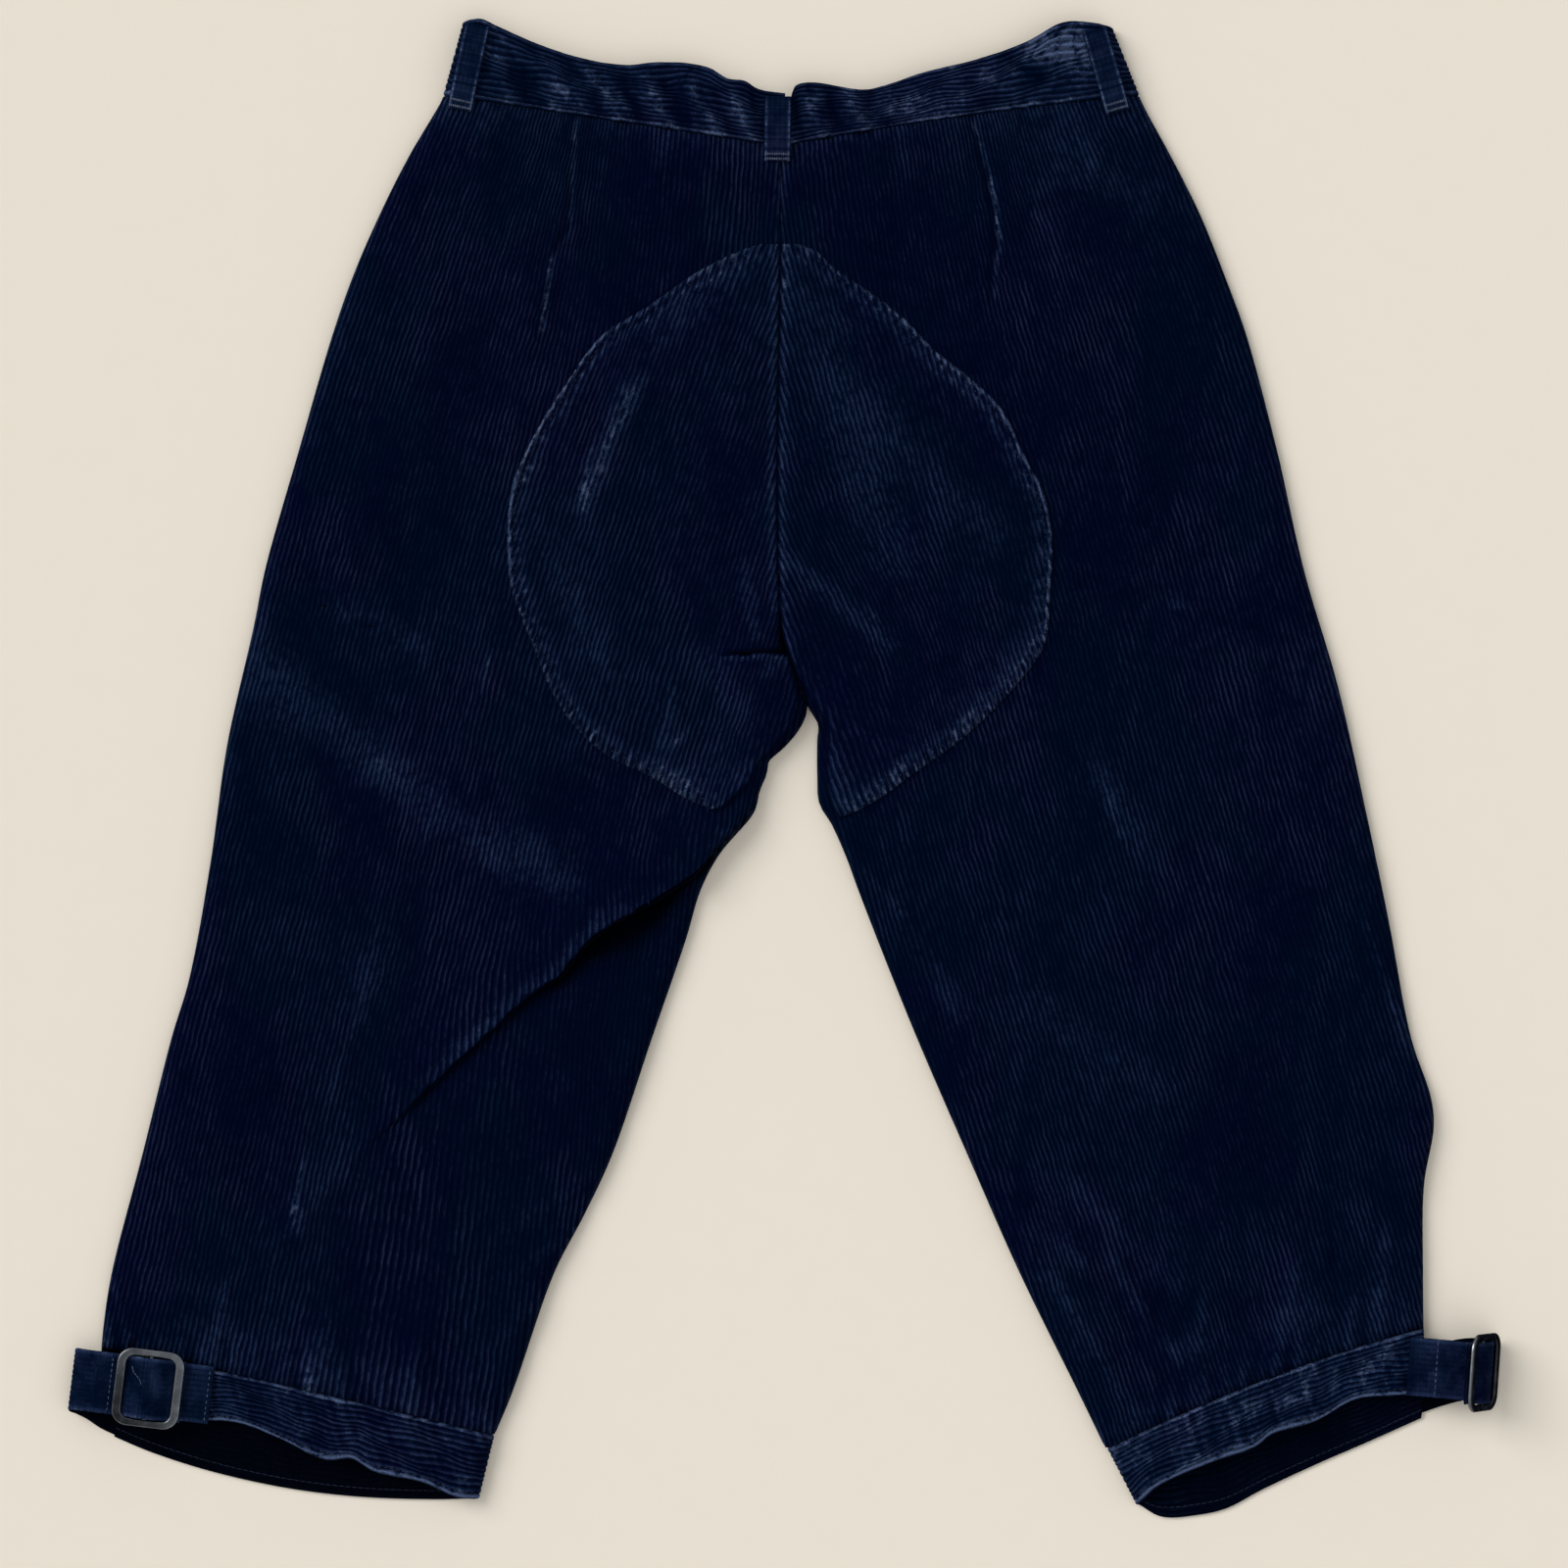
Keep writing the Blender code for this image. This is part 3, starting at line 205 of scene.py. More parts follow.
LEANS_PATCH_LEFT = table(
    LEAN_COLUMNS, (-20, 250, 19), (-80, 200, 20), (-110, 130, 18), (-30, 150, 18), (-90, 50, 17),
    (-20, 60, 17), (-60, 0, 17))
LEANS_PATCH_RIGHT = table(
    LEAN_COLUMNS, (20, 250, -17), (70, 190, -16), (110, 140, -15), (30, 150, -17), (40, 90, -30),
    (90, 90, -17), (20, 60, -17), (80, 50, -17), (40, 0, -19))
LEAN_REACH = 48.0

# Darts, from the waist seam down
DART_LEFT = ((-106, 330), (-107.5, 300), (-108.5, 274.5), (-117.5, 259.5), (-120, 243), (-122.5, 223))
DART_RIGHT = ((97.5, 328), (101.5, 315), (105.5, 301), (109, 284), (110, 270), (107.5, 240))

# Seat patch: its outer edge and its edge beside the centre seam
PATCH_EDGE_LEFT = table(
    "y x", (267, -12), (264, -21), (254.5, -41), (234.5, -70.5), (220.5, -92.5), (197, -110),
    (167.5, -128), (143.5, -138), (118, -140.5), (92, -138.5), (68.5, -130), (29, -112),
    (7, -90.5), (-4, -68), (-16, -48), (-20.5, -37))
PATCH_EDGE_RIGHT = table(
    "y x", (267, 8), (263, 18), (256.5, 24.5), (232.5, 58), (213, 77.5), (197, 97.5),
    (183, 111.5), (159.5, 123), (139.5, 133), (118, 137), (88.5, 136), (62.5, 133), (41, 117.5),
    (17, 93.5), (-4.5, 64), (-15.5, 49), (-21.5, 38))
PATCH_SEAM_LEFT = table(
    "y x", *CENTRE_BACK[:-1], (34, 8), (21, 4), (11, -4), (3, -12), (-6, -17), (-14, -24), (-20.5, -32))
PATCH_SEAM_RIGHT = table(
    "y x", *CENTRE_BACK[:-1], (32, 16), (22, 22), (-5, 22), (-18, 24), (-25, 28))
PATCH_TOP = 267.0
PATCH_ROUND = 420.0
PALE_STITCHES = (214.0, 146.0)
PATCH_LAY = 0.5
PATCH_FOLDS_LEFT = table(
    FOLD_COLUMNS,
    (-80, 192, -100, 132, 9, 1.2), (-64, 190, -84, 120, 7, -0.9), (-45, 160, -60, 90, 9, 0.7),
    (-118, 120, -100, 60, 8, 0.7), (-52, 30, -60, 8, 4, 0.8), (-36, 34, -44, 4, 4, -0.7),
    (-25, 20, -48, -6, 5, 0.7), (-90, 20, -60, -2, 5, 0.6), (-12, 225, -30, 190, 8, 0.6))
PATCH_FOLDS_RIGHT = table(
    FOLD_COLUMNS,
    (4, 104, 54, 62, 6, 1.0), (2, 92, 46, 54, 5, -1.2), (10, 116, 70, 78, 7, -0.8),
    (30, 170, 52, 110, 11, 0.9), (62, 170, 88, 120, 12, 0.7), (100, 60, 70, 20, 8, 0.6),
    (24, 10, 40, -12, 4, 0.7), (30, 30, 60, 0, 6, 0.6), (14, 220, 36, 180, 8, 0.6))
# The flat fold across the foot of the left patch, its lower side uppermost
FLAT_FOLD = ((-34, 56.5), (-12, 58.5), (1.5, 57.5))
FLAT_FOLD_RISE = 2.4
FLAT_FOLD_REACH = 26.0
FLAT_FOLD_LIP = 1.6

# Waistband, back half and front half: place along the seam, and the top edge
WAIST_LEFT = table(
    "x edge_x edge_y", (-1.15, 1.2, 344), (-12, -12, 346), (-22, -20, 350.5), (-30, -28, 351.5),
    (-42, -39, 357.5), (-62, -59.5, 360), (-84, -81.5, 358.5), (-106, -103, 362), (-128, -124.5, 369),
    (-152, -146, 378.5), (-162.5, -154, 382), (-173.5, -163, 381))
WAIST_RIGHT = table(
    "x edge_x edge_y", (-0.85, 4.5, 344), (5, 6.5, 348), (12, 12, 349.5), (26, 24, 348.5),
    (40, 37.5, 346), (50, 48, 347), (72, 71, 354.5), (99, 97.5, 361), (127, 124.5, 370.5),
    (148, 142, 380), (171, 157.5, 380), (182, 168, 378))
WAIST_FRONT_LEFT = table(
    "x edge_x edge_y", (-1.15, -1.15, 335.5), (-40, -38, 341), (-100, -97, 352), (-150, -143, 369),
    (-170, -160, 379), (-173.5, -163, 381))
WAIST_FRONT_RIGHT = table(
    "x edge_x edge_y", (-0.85, -0.85, 335.5), (40, 38, 337), (100, 97, 352), (150, 141, 371),
    (176, 162, 378), (182, 168, 378))
RIPPLE_PITCH = 17.0
RIPPLE_RISE = 0.8
RIPPLES = table(
    "x share", (-115, 0), (-95, 0.7), (-60, 1.0), (-25, 1.0), (-12, 0), (12, 0), (20, 0.9), (46, 1.0),
    (70, 0.2), (110, 0.0))
WAIST_FOLDS = table(
    FOLD_COLUMNS,
    (-96, 352, -84, 330, 3.5, 1.1), (-82, 350, -70, 326, 3, -1.2), (-70, 350, -56, 324, 3.5, 1.2),
    (-58, 346, -47, 322, 3, -1.1), (-46, 346, -34, 322, 3, 1.2), (-34, 342, -24, 320, 2.6, -1.1),
    (-24, 340, -15, 318, 2.6, 1.0), (-133, 352, -126, 340, 5, -1.6), (-118, 356, -104, 338, 5, 0.9),
    (-148, 362, -140, 344, 4, 0.7), (14, 340, 22, 318, 3, 1.1), (24, 342, 31, 320, 3, -1.0),
    (34, 342, 44, 322, 3.5, 1.0), (46, 342, 56, 324, 3.5, -0.8), (112, 364, 131, 352, 3, -1.2),
    (124, 374, 146, 366, 5, 0.9), (104, 352, 118, 344, 4, 0.8), (88, 350, 92, 332, 4, 0.6),
    (-14, 340, -8, 322, 3, -0.9), (6, 340, 10, 322, 3, -0.9))

# Knee bands, back half and front half: place along the seam, and the hem
KNEE_OVER_LEFT = table(
    "x edge_x edge_y", (-303, -303, -332.5), (-277, -278, -333.5), (-256, -257, -341),
    (-232, -233, -352), (-218, -219.5, -351.5), (-205, -208, -358), (-180, -184, -363.5),
    (-160, -167, -371), (-147.5, -155.5, -373))
KNEE_UNDER_LEFT = table(
    "x edge_x edge_y", (-338, -341.7, -341.5), (-323.5, -324, -349), (-293, -293, -359),
    (-254.5, -255, -367.5), (-216.5, -219, -372), (-172, -179, -373.5), (-147.5, -155.5, -373))
KNEE_OVER_RIGHT = table(
    "x edge_x edge_y", (326.5, 326.5, -318.5), (312, 312, -319.5), (291.5, 291.5, -321.5),
    (271, 271, -332.5), (249, 249, -339), (240, 241, -345), (216.5, 219, -353), (194.5, 202, -360),
    (178, 189, -367), (165.5, 181, -375.5))
KNEE_UNDER_RIGHT = table(
    "x edge_x edge_y", (327.6, 326.2, -332), (297, 297, -345), (275, 275, -354.5), (243, 245, -368.5),
    (224, 227, -378), (206, 212, -381.5), (182, 193, -382.3), (165.5, 181, -375.5))
KNEE_FOLDS = table(
    FOLD_COLUMNS,
    (-290, -300, -281, -326, 3.5, 0.9), (-272, -306, -266, -334, 3.5, -0.9), (-258, -310, -247, -340, 3.5, 1.0),
    (-241, -316, -236, -346, 3, -1.0), (-226, -320, -216, -350, 3.5, 1.0), (-209, -326, -201, -356, 3.5, -0.9),
    (-193, -328, -186, -360, 3, 0.9), (-178, -330, -173, -366, 3, -0.9), (-163, -336, -164, -368, 3, 0.7),
    (310, -292, 302, -318, 4, 0.7), (290, -296, 284, -320, 3.5, -0.8), (270, -304, 262, -332, 3.5, 0.9),
    (252, -308, 247, -338, 3, -0.9), (236, -314, 232, -346, 3.5, 1.0), (218, -320, 220, -350, 3, -1.0),
    (204, -326, 208, -356, 3.5, 0.9), (190, -332, 197, -362, 3, -0.9), (180, -340, 186, -368, 3, 0.8))
TURN_MIDDLE = 2.6
TURN_UNDER = 3.2

# Belt loops: top centre, foot centre and width
LOOPS = {
    "loop_left": ((-155.5, 378.5), (-164.8, 335.5), 12.5),
    "loop_centre": ((-2.5, 342.0), (-3.0, 309.5), 13.5),
    "loop_right": ((158.5, 376.0), (170.5, 334.5), 12.5),
}
LOOP_ARCH = 1.0

# Sliders with the strap and the tab that they join
SLIDER_WIDE = 34.5
SLIDER_LONG = 39.5
SLIDER_CORNER = 8.0
SLIDER_SIDE_BAR = 4.6
SLIDER_END_BAR = 3.6
SLIDER_THICK = 2.2
SLIDER_MIDDLE_BAR = 2.2
SLIDER_MIDDLE_DROP = 1.4
SLIDERS = {
    "left": {"centre": (-323.0, -315.5), "height": 14.9, "lean": -7.0, "tilt": 0.0, "out": -1},
    "right": {"centre": (356.3, -307.0), "height": 18.5, "lean": -4.0, "tilt": 60.0, "out": 1},
}
STRAP_HALF = 15.6
STRAP_THROUGH = table(
    "across off", (-17, -2.2), (-14.5, -2.2), (-12, -2.0), (-9, -0.9), (-6, 0.9), (-3, 2.0), (0, 2.2),
    (3, 2.0), (6, 0.9), (9, -0.9), (12, -2.0), (14.5, -2.2), (17.5, -2.3))
STRAP_REACH = {
    "left": table(
        "out z low high", (12.5, 1.1, -28.0, 1.6), (23, 1.1, -24.6, 6.5), (31, 1.2, -20.6, 10.5),
        (36.4, 2.6, -18.6, 13.5), (39.0, 5.2, -17.6, 14.5), (39.0, 8.2, -16.4, 15.4),
        (36.4, 11.1, -15.8, 15.6), (31, 12.4, -15.6, 15.6), (24, 12.7, -15.6, 15.6)),
    "right": table(
        "out z low high", (-30.5, 1.1, -25.4, 6.4), (-22.8, 1.1, -22, 10.5), (-14, 1.1, -18.6, 14),
        (-5, 1.1, -16, 15.6), (1, 1.3, -15.6, 15.6), (4.4, 2.2, -15.6, 15.6)),
}
TAB_HALF = 14.8
TAB_TURN = (100, 65, 30, 0, -30, -65, -100)
TAB_UPPER = {
    "left": table("out z", (-32, 10.95), (-14.5, 10.95), (-10.5, 11.3), (-6, 13.4), (-3.4, 14.5)),
    "right": table("out z", (-38, 14.2), (-30, 14.6), (-20, 16.6), (-11, 18.8), (-5, 19.7)),
}
TAB_LOWER = {
    "left": table("out z", (-3.4, 10.3), (-7, 9.75), (-12, 9.55), (-32, 9.55)),
    "right": table("out z", (-5, 15.9), (-11, 15.5), (-20, 14.3), (-30, 12.9), (-38, 12.75)),
}

FLY = {"left": -7.0, "right": 30.0, "top": 296.0, "foot": 110.0, "thick": 1.2}

# Worn, brushed and faded places, many along ridges where they are partly painted sheen: ends, half width and
# strength
WEAR_AND_SHEEN_COLUMNS = "x1 y1 x2 y2 width strength"
WEAR_AND_SHEEN_LEFT = table(
    WEAR_AND_SHEEN_COLUMNS,
    (-119, 262, -121, 250, 1.6, 1.0), (-121.5, 243, -124, 224, 1.3, 0.9), (-109, 325, -110, 285, 1.6, 0.35),
    (-149.5, 58, -153, 42, 1.3, 1.0), (-160, 34, -167, 6, 1.2, 0.5), (-172, -8, -184, -40, 1.2, 0.3),
    (-254, 42, -205, 2, 11, 0.28), (-205, 2, -152, -36, 11, 0.36), (-268, 92, -225, 80, 4, 0.5),
    (-222, 78, -190, 66, 6, 0.6), (-196, 66, -186, 60, 12, 0.4), (-128, -40, -110, -56, 10, 0.5),
    (-212, -110, -232, -170, 1.6, 0.4), (-244, -200, -249, -224, 1.4, 0.9), (-250, -222, -246, -232, 2.2, 0.9),
    (-316, -258, -290, -268, 12, 0.35), (-262, 60, -258, 20, 14, 0.3), (-230, 230, -210, 200, 20, 0.2),
    (-216, -120, -150, -150, 26, 0.2), (-300, -285, -200, -308, 9, 0.35), (-130, -245, -108, -240, 9, 0.3),
    (-185, 230, -178, 70, 26, -0.16), (-60, 300, -40, 240, 18, -0.12), (-290, -20, -300, -120, 18, -0.14),
    (-180, 20, -165, -20, 10, -0.16), (-270, -170, -280, -250, 20, -0.14), (-90, -110, -140, -200, 16, -0.10))
WEAR_AND_SHEEN_RIGHT = table(
    WEAR_AND_SHEEN_COLUMNS,
    (106, 300, 110, 268, 1.5, 0.7), (108, 262, 106.5, 240, 1.3, 0.5), (138, 97, 200, 84, 4, 0.4),
    (200, 84, 265, 67, 4, 0.45), (166, -12, 172, -34, 3, 0.6), (160, -2, 180, -40, 9, 0.3),
    (150, 305, 185, 292, 15, 0.45), (128, 290, 140, 262, 8, 0.35), (132, -238, 150, -250, 8, 0.55),
    (138, -260, 160, -290, 8, 0.3), (206, -246, 196, -230, 9, 0.35), (282, -215, 300, -240, 12, 0.3),
    (296, -76, 318, -142, 3, 0.4), (180, -300, 300, -270, 8, 0.35), (60, -70, 84, -110, 5, 0.35),
    (200, 60, 250, 40, 26, 0.2), (120, -140, 170, -170, 20, 0.25), (262, 60, 275, 20, 14, 0.2), (180, 230, 195, 110, 22, -0.16), (150, 0, 215, -120, 24, -0.14),
    (220, -160, 250, -230, 24, -0.14), (60, 300, 45, 240, 16, -0.12), (270, -20, 300, -110, 12, -0.12))
WEAR_AND_SHEEN_PATCH_LEFT = table(
    WEAR_AND_SHEEN_COLUMNS,
    (-79, 192, -101, 134, 4, 0.65), (-70, 198, -79, 180, 3, 0.5), (-97, 162, -103, 138, 1.5, 0.7),
    (-56, 40, -62, 12, 3, 0.5), (-50, 18, -56, 12, 2, 0.8), (-36, 50, -20, 30, 8, 0.35),
    (-110, 92, -90, 50, 10, 0.3), (-3, 54, -8, 50, 3, 0.5), (-60, -4, -20, -4, 8, 0.35),
    (-25, 250, -60, 225, 9, 0.35), (-20, 100, -14, 70, 4, 0.4))
WEAR_AND_SHEEN_PATCH_RIGHT = table(
    WEAR_AND_SHEEN_COLUMNS,
    (43, 82, 48, 76, 1.2, 0.9), (8, 104, 50, 66, 4, 0.3), (30, 196, 46, 176, 12, 0.4),
    (40, 150, 60, 110, 14, 0.25), (88, 205, 70, 228, 8, 0.35), (86, 140, 106, 122, 10, 0.25),
    (120, 60, 90, 20, 8, 0.3), (24, 6, 30, -16, 5, 0.4), (60, 0, 44, -14, 5, 0.35), (10, 240, 30, 226, 9, 0.3))

LEGS = {
    "left": {
        "sign": -1, "side": SIDE_LEFT, "inner": INSEAM_LEFT, "seam": -SEAM_GAP / 2,
        "waist": (343, 317, 0, 0), "knee": (-295, -340, 0, 4), "front_waist": (343, 302, 0, 0),
        "front_knee": (-303, -340, 0, -24), "folds": (FOLDS_LEFT, CREASES_LEFT), "swells": SWELLS_LEFT,
        "fall": FALL_LEFT, "long_fold": True, "leans": LEANS_LEFT, "wear_and_painted_light": WEAR_AND_SHEEN_LEFT, "dart": DART_LEFT,
        "patch_edge": PATCH_EDGE_LEFT, "patch_seam": PATCH_SEAM_LEFT, "patch_leans": LEANS_PATCH_LEFT,
        "patch_folds": PATCH_FOLDS_LEFT, "patch_wear_and_sheen": WEAR_AND_SHEEN_PATCH_LEFT, "seed": 3,
    },
    "right": {
        "sign": 1, "side": SIDE_RIGHT, "inner": INSEAM_RIGHT, "seam": SEAM_GAP / 2,
        "waist": (343, 317, 0, 4), "knee": (-285, -347, 0, 10), "front_waist": (343, 302, 0, 0),
        "front_knee": (-299, -346.4, 0, -20), "folds": (FOLDS_RIGHT, CREASES_RIGHT), "swells": SWELLS_RIGHT,
        "fall": FALL_RIGHT, "long_fold": False, "leans": LEANS_RIGHT, "wear_and_painted_light": WEAR_AND_SHEEN_RIGHT, "dart": DART_RIGHT,
        "patch_edge": PATCH_EDGE_RIGHT, "patch_seam": PATCH_SEAM_RIGHT, "patch_leans": LEANS_PATCH_RIGHT,
        "patch_folds": PATCH_FOLDS_RIGHT, "patch_wear_and_sheen": WEAR_AND_SHEEN_PATCH_RIGHT, "seed": 8,
    },
}


# Shader maths
class Socket:
    """A value in a material's nodes, on which sums are written as plain Python."""

    def __init__(self, tree, link):
        self.tree = tree
        self.link = link

    def node(self, kind, settings=None, output=0, **inputs):
        item = self.tree.nodes.new(kind)
        for name, value in (settings or {}).items():
            setattr(item, name, value)
        for name, value in inputs.items():
            key = int(name[1:]) if name[0] == "i" and name[1:].isdigit() else name.replace("_", " ")
            if isinstance(value, Socket):
                self.tree.links.new(value.link, item.inputs[key])
            else:
                item.inputs[key].default_value = value
        return Socket(self.tree, item.outputs[output])

    def maths(self, operation, *values):
        return self.node(
            "ShaderNodeMath", {"operation": operation},
            **{f"i{index}": value for index, value in enumerate(values)})

    def __add__(self, other):
        return self.maths("ADD", self, other)

    def __sub__(self, other):
        return self.maths("SUBTRACT", self, other)

    def __rsub__(self, other):
        return self.maths("SUBTRACT", other, self)

    def __mul__(self, other):
        return self.maths("MULTIPLY", self, other)

    __radd__ = __add__
    __rmul__ = __mul__

    def clamp(self):
        return self.node("ShaderNodeClamp", Value=self)

    def ramp(self, low, high):
        """From 0 at low to 1 at high, smoothly."""
        return self.node(
            "ShaderNodeMapRange", {"interpolation_type": "SMOOTHSTEP"},
            Value=self, From_Min=low, From_Max=high)

    def blend(self, first, second):
        """A colour between two, by this value."""
        return self.node(
            "ShaderNodeMix", {"data_type": "RGBA"}, output=2, Factor=self.clamp(), i6=first, i7=second)


def new_material(name):
    """An empty material with its shader, and a socket to start sums from."""
    item = bpy.data.materials.new(name)
    item.use_nodes = True
    tree = item.node_tree
    return item, tree.nodes["Principled BSDF"], Socket(tree, None)


def plug(tree, value, socket):
    tree.links.new(value.link, socket)


# The groove colour is painted shade between the wales.
GROOVE_SHADE = (0.00004, 0.00100, 0.0082, 1)
PLAIN = (0.00090, 0.00260, 0.0155, 1)
PLAIN_TEAL = (0.00050, 0.00450, 0.0148, 1)
LIT = (0.0080, 0.0150, 0.0430, 1)
LIT_VIOLET = (0.0140, 0.0160, 0.0440, 1)
# The worn colour also serves for painted highlights on folds and lips.
PALE_WEAR_AND_HIGHLIGHT = (0.0175, 0.0320, 0.0820, 1)
FADED = (0.080, 0.115, 0.215, 1)
THREAD = (0.0030, 0.0060, 0.0220, 1)
THREAD_WORN = (0.018, 0.028, 0.068, 1)
THREAD_PALE = (0.160, 0.195, 0.280, 1)
# The darkest inside colour is also painted shade where the wear values go below zero, and it darkens the knee bands'
# under-layers as painted shade.
INSIDE_AND_SHADE_DARK = (0.00015, 0.00035, 0.0014, 1)
INSIDE = (0.0014, 0.0018, 0.0040, 1)
SHEEN_TINT = (0.22, 0.42, 1.0, 1)


def corduroy():
    """Cut pile in wales, with painted shade between them and a painted highlight along one side of each, brushed and
    worn in places, with painted light and shade on its folds.
    """
    item, shader, at = new_material("navy_corduroy")
    tree = item.node_tree
    place = at.node("ShaderNodeTexCoord", output=3)
    wales = at.node("ShaderNodeUVMap", {"uv_map": "wales"})
    wear_and_painted_light = at.node("ShaderNodeAttribute", {"attribute_name": "wear_and_painted_light"}, output=2)
    inside = at.node("ShaderNodeAttribute", {"attribute_name": "inside"}, output=2)

    def noise(vector, stretch, detail, rough=0.6, twist=0.0):
        spread = at.node("ShaderNodeVectorMath", {"operation": "MULTIPLY"}, i0=vector, i1=stretch)
        return at.node(
            "ShaderNodeTexNoise", Vector=spread, Scale=1.0, Detail=detail, Roughness=rough, Distortion=twist)

    number = at.node("ShaderNodeSeparateXYZ", Vector=wales)
    wander = noise(wales, (0.55, 0.14, 1.0), 4.0, 0.65)
    phase = (number + wander * 0.5).maths("FRACT", number + wander * 0.5)
    # Painted light on each wale: ridge lifts the cloth from the near-black groove colour, which is painted shade,
    # and line is a narrow painted highlight on one side of the crest, in the lit colours.
    ridge = phase.maths("ABSOLUTE", phase - 0.75).ramp(0.50, 0.24)
    line = phase.maths("ABSOLUTE", phase - 0.80).ramp(0.26, 0.07)
    tufts = noise(wales, (4.4, 1.6, 1.0), 3.0, 0.75)
    breaks = noise(wales, (0.9, 0.20, 1.0), 3.0, 0.7)
    wale_by_wale = noise(wales, (1.05, 0.035, 1.0), 4.0, 0.7)
    nap = noise(place, (15.0, 6.5, 1.0), 5.0, 0.62, 0.7)
    clouds = noise(place, (46.0, 30.0, 1.0), 4.0, 0.65, 0.4)
    specks = noise(place, (190.0, 130.0, 1.0), 4.0, 0.75, 0.6)
    grain = noise(place, (1500.0, 1500.0, 1500.0), 2.0)
    mottled = clouds.ramp(0.36, 0.66) * 0.5 + specks.ramp(0.38, 0.64) * 0.5
    clear = (nap.ramp(0.43, 0.585) * 0.74 + mottled * 0.62 - 0.14 + wear_and_painted_light * 0.3).clamp()
    pile = tufts.ramp(0.28, 0.70)
    body = ridge * (clear * 0.50 + 0.28) + (1 - clear) * 0.30 + (tufts - 0.5) * 0.8 + (specks - 0.5) * 0.7
    teal = noise(place, (9.0, 7.0, 1.0), 3.0).ramp(0.42, 0.58)
    plain = teal.blend(PLAIN, PLAIN_TEAL)
    lit = line * clear * (pile * 0.8 + 0.2) * (wale_by_wale.ramp(0.32, 0.66) * 0.9 + 0.3) * (mottled + 0.4)
    cloth = lit.blend(body.blend(GROOVE_SHADE, plain), teal.blend(LIT_VIOLET, LIT))
    patchy = breaks.ramp(0.30, 0.66) * 0.8 + mottled * 0.5
    # Above zero the wear values are partly wear and partly painted highlight on raised folds and lips.
    wear_and_light = wear_and_painted_light * (patchy + 0.15)
    rub_and_highlight = (line * 0.72 + ridge * 0.20 + 0.10) * (pile * 0.9 + 0.15) * (wale_by_wale * 0.9 + 0.4)
    cloth = (wear_and_light.ramp(0.06, 0.70) * rub_and_highlight).blend(cloth, PALE_WEAR_AND_HIGHLIGHT)
    cloth = (wear_and_light.ramp(0.60, 1.40) * (rub_and_highlight + pile * 0.4)).blend(cloth, FADED)
    # Below zero they darken the cloth towards near black as painted shade in folds and hollows.
    cloth = (wear_and_painted_light * -1.0).ramp(0.0, 1.0).blend(cloth, INSIDE_AND_SHADE_DARK)
    lining = (grain.ramp(0.3, 0.7) * 0.7 + clouds * 0.5 - 0.15).blend(INSIDE_AND_SHADE_DARK, INSIDE)
    plug(tree, inside.blend(cloth, lining), shader.inputs["Base Color"])
    plug(tree, 0.98 - clear * 0.08, shader.inputs["Roughness"])
    height = tufts * 0.6 + wale_by_wale * 0.3 + grain * 0.25
    bump = at.node("ShaderNodeBump", Strength=0.6, Distance=0.00022, Height=height)
    plug(tree, bump, shader.inputs["Normal"])
    shader.inputs["Sheen Weight"].default_value = 0.035
    shader.inputs["Sheen Roughness"].default_value = 0.35
    shader.inputs["Sheen Tint"].default_value = SHEEN_TINT
    shader.inputs["Specular IOR Level"].default_value = 0.012
    shader.inputs["Specular Tint"].default_value = SHEEN_TINT
    return item


def sewing_thread(name, low, high):
    item, shader, at = new_material(name)
    tree = item.node_tree
    place = at.node("ShaderNodeTexCoord", output=3)
    twist = at.node("ShaderNodeTexNoise", Vector=place, Scale=900.0, Detail=3.0)
    patchy = at.node("ShaderNodeTexNoise", Vector=place, Scale=60.0, Detail=2.0)
    shade = (twist.ramp(0.3, 0.7) * 0.6 + patchy.ramp(0.35, 0.65) * 0.4).clamp()
    plug(tree, shade.blend(low, high), shader.inputs["Base Color"])
    plug(tree, 0.8 - twist * 0.2, shader.inputs["Roughness"])
    bump = at.node("ShaderNodeBump", Strength=0.4, Distance=0.0001, Height=twist)
    plug(tree, bump, shader.inputs["Normal"])
    shader.inputs["Specular IOR Level"].default_value = 0.3
    return item


def gunmetal():
    """Dark aged plating, with painted highlights along its edges."""
    item, shader, at = new_material("gunmetal")
    tree = item.node_tree
    place = at.node("ShaderNodeTexCoord", output=3)
    rub_and_highlight = at.node("ShaderNodeAttribute", {"attribute_name": "wear_and_painted_light"}, output=2)
    cloudy = at.node("ShaderNodeTexNoise", Vector=place, Scale=130.0, Detail=5.0, Roughness=0.65)
    fine = at.node("ShaderNodeTexNoise", Vector=place, Scale=1600.0, Detail=2.0)
    pits = at.node("ShaderNodeTexVoronoi", Vector=place, Scale=800.0)
    aged_and_highlight = (cloudy.ramp(0.40, 0.70) * 0.05 + rub_and_highlight * (cloudy * 1.0 + 0.25)).clamp()
    colour = aged_and_highlight.blend((0.020, 0.022, 0.026, 1), (0.56, 0.60, 0.64, 1))
    plug(tree, colour, shader.inputs["Base Color"])
    plug(tree, 0.34 - aged_and_highlight * 0.14, shader.inputs["Roughness"])
    pitted = fine * 0.5 + pits.ramp(0.0, 0.35) * 0.5
    bump = at.node("ShaderNodeBump", Strength=0.35, Distance=0.00008, Height=pitted)
    plug(tree, bump, shader.inputs["Normal"])
    shader.inputs["Metallic"].default_value = 1.0
    shader.inputs["Specular Tint"].default_value = (0.30, 0.31, 0.34, 1)
    return item


def pale_floor():
    item, shader, at = new_material("pale_floor")
    tree = item.node_tree
    place = at.node("ShaderNodeTexCoord", output=3)
    grain = at.node("ShaderNodeTexNoise", Vector=place, Scale=60.0, Detail=2.0)
    colour = grain.blend((0.800, 0.728, 0.618, 1), (0.812, 0.740, 0.630, 1))
    plug(tree, colour, shader.inputs["Base Color"])
    shader.inputs["Roughness"].default_value = 0.95
    shader.inputs["Specular IOR Level"].default_value = 0.05
    return item


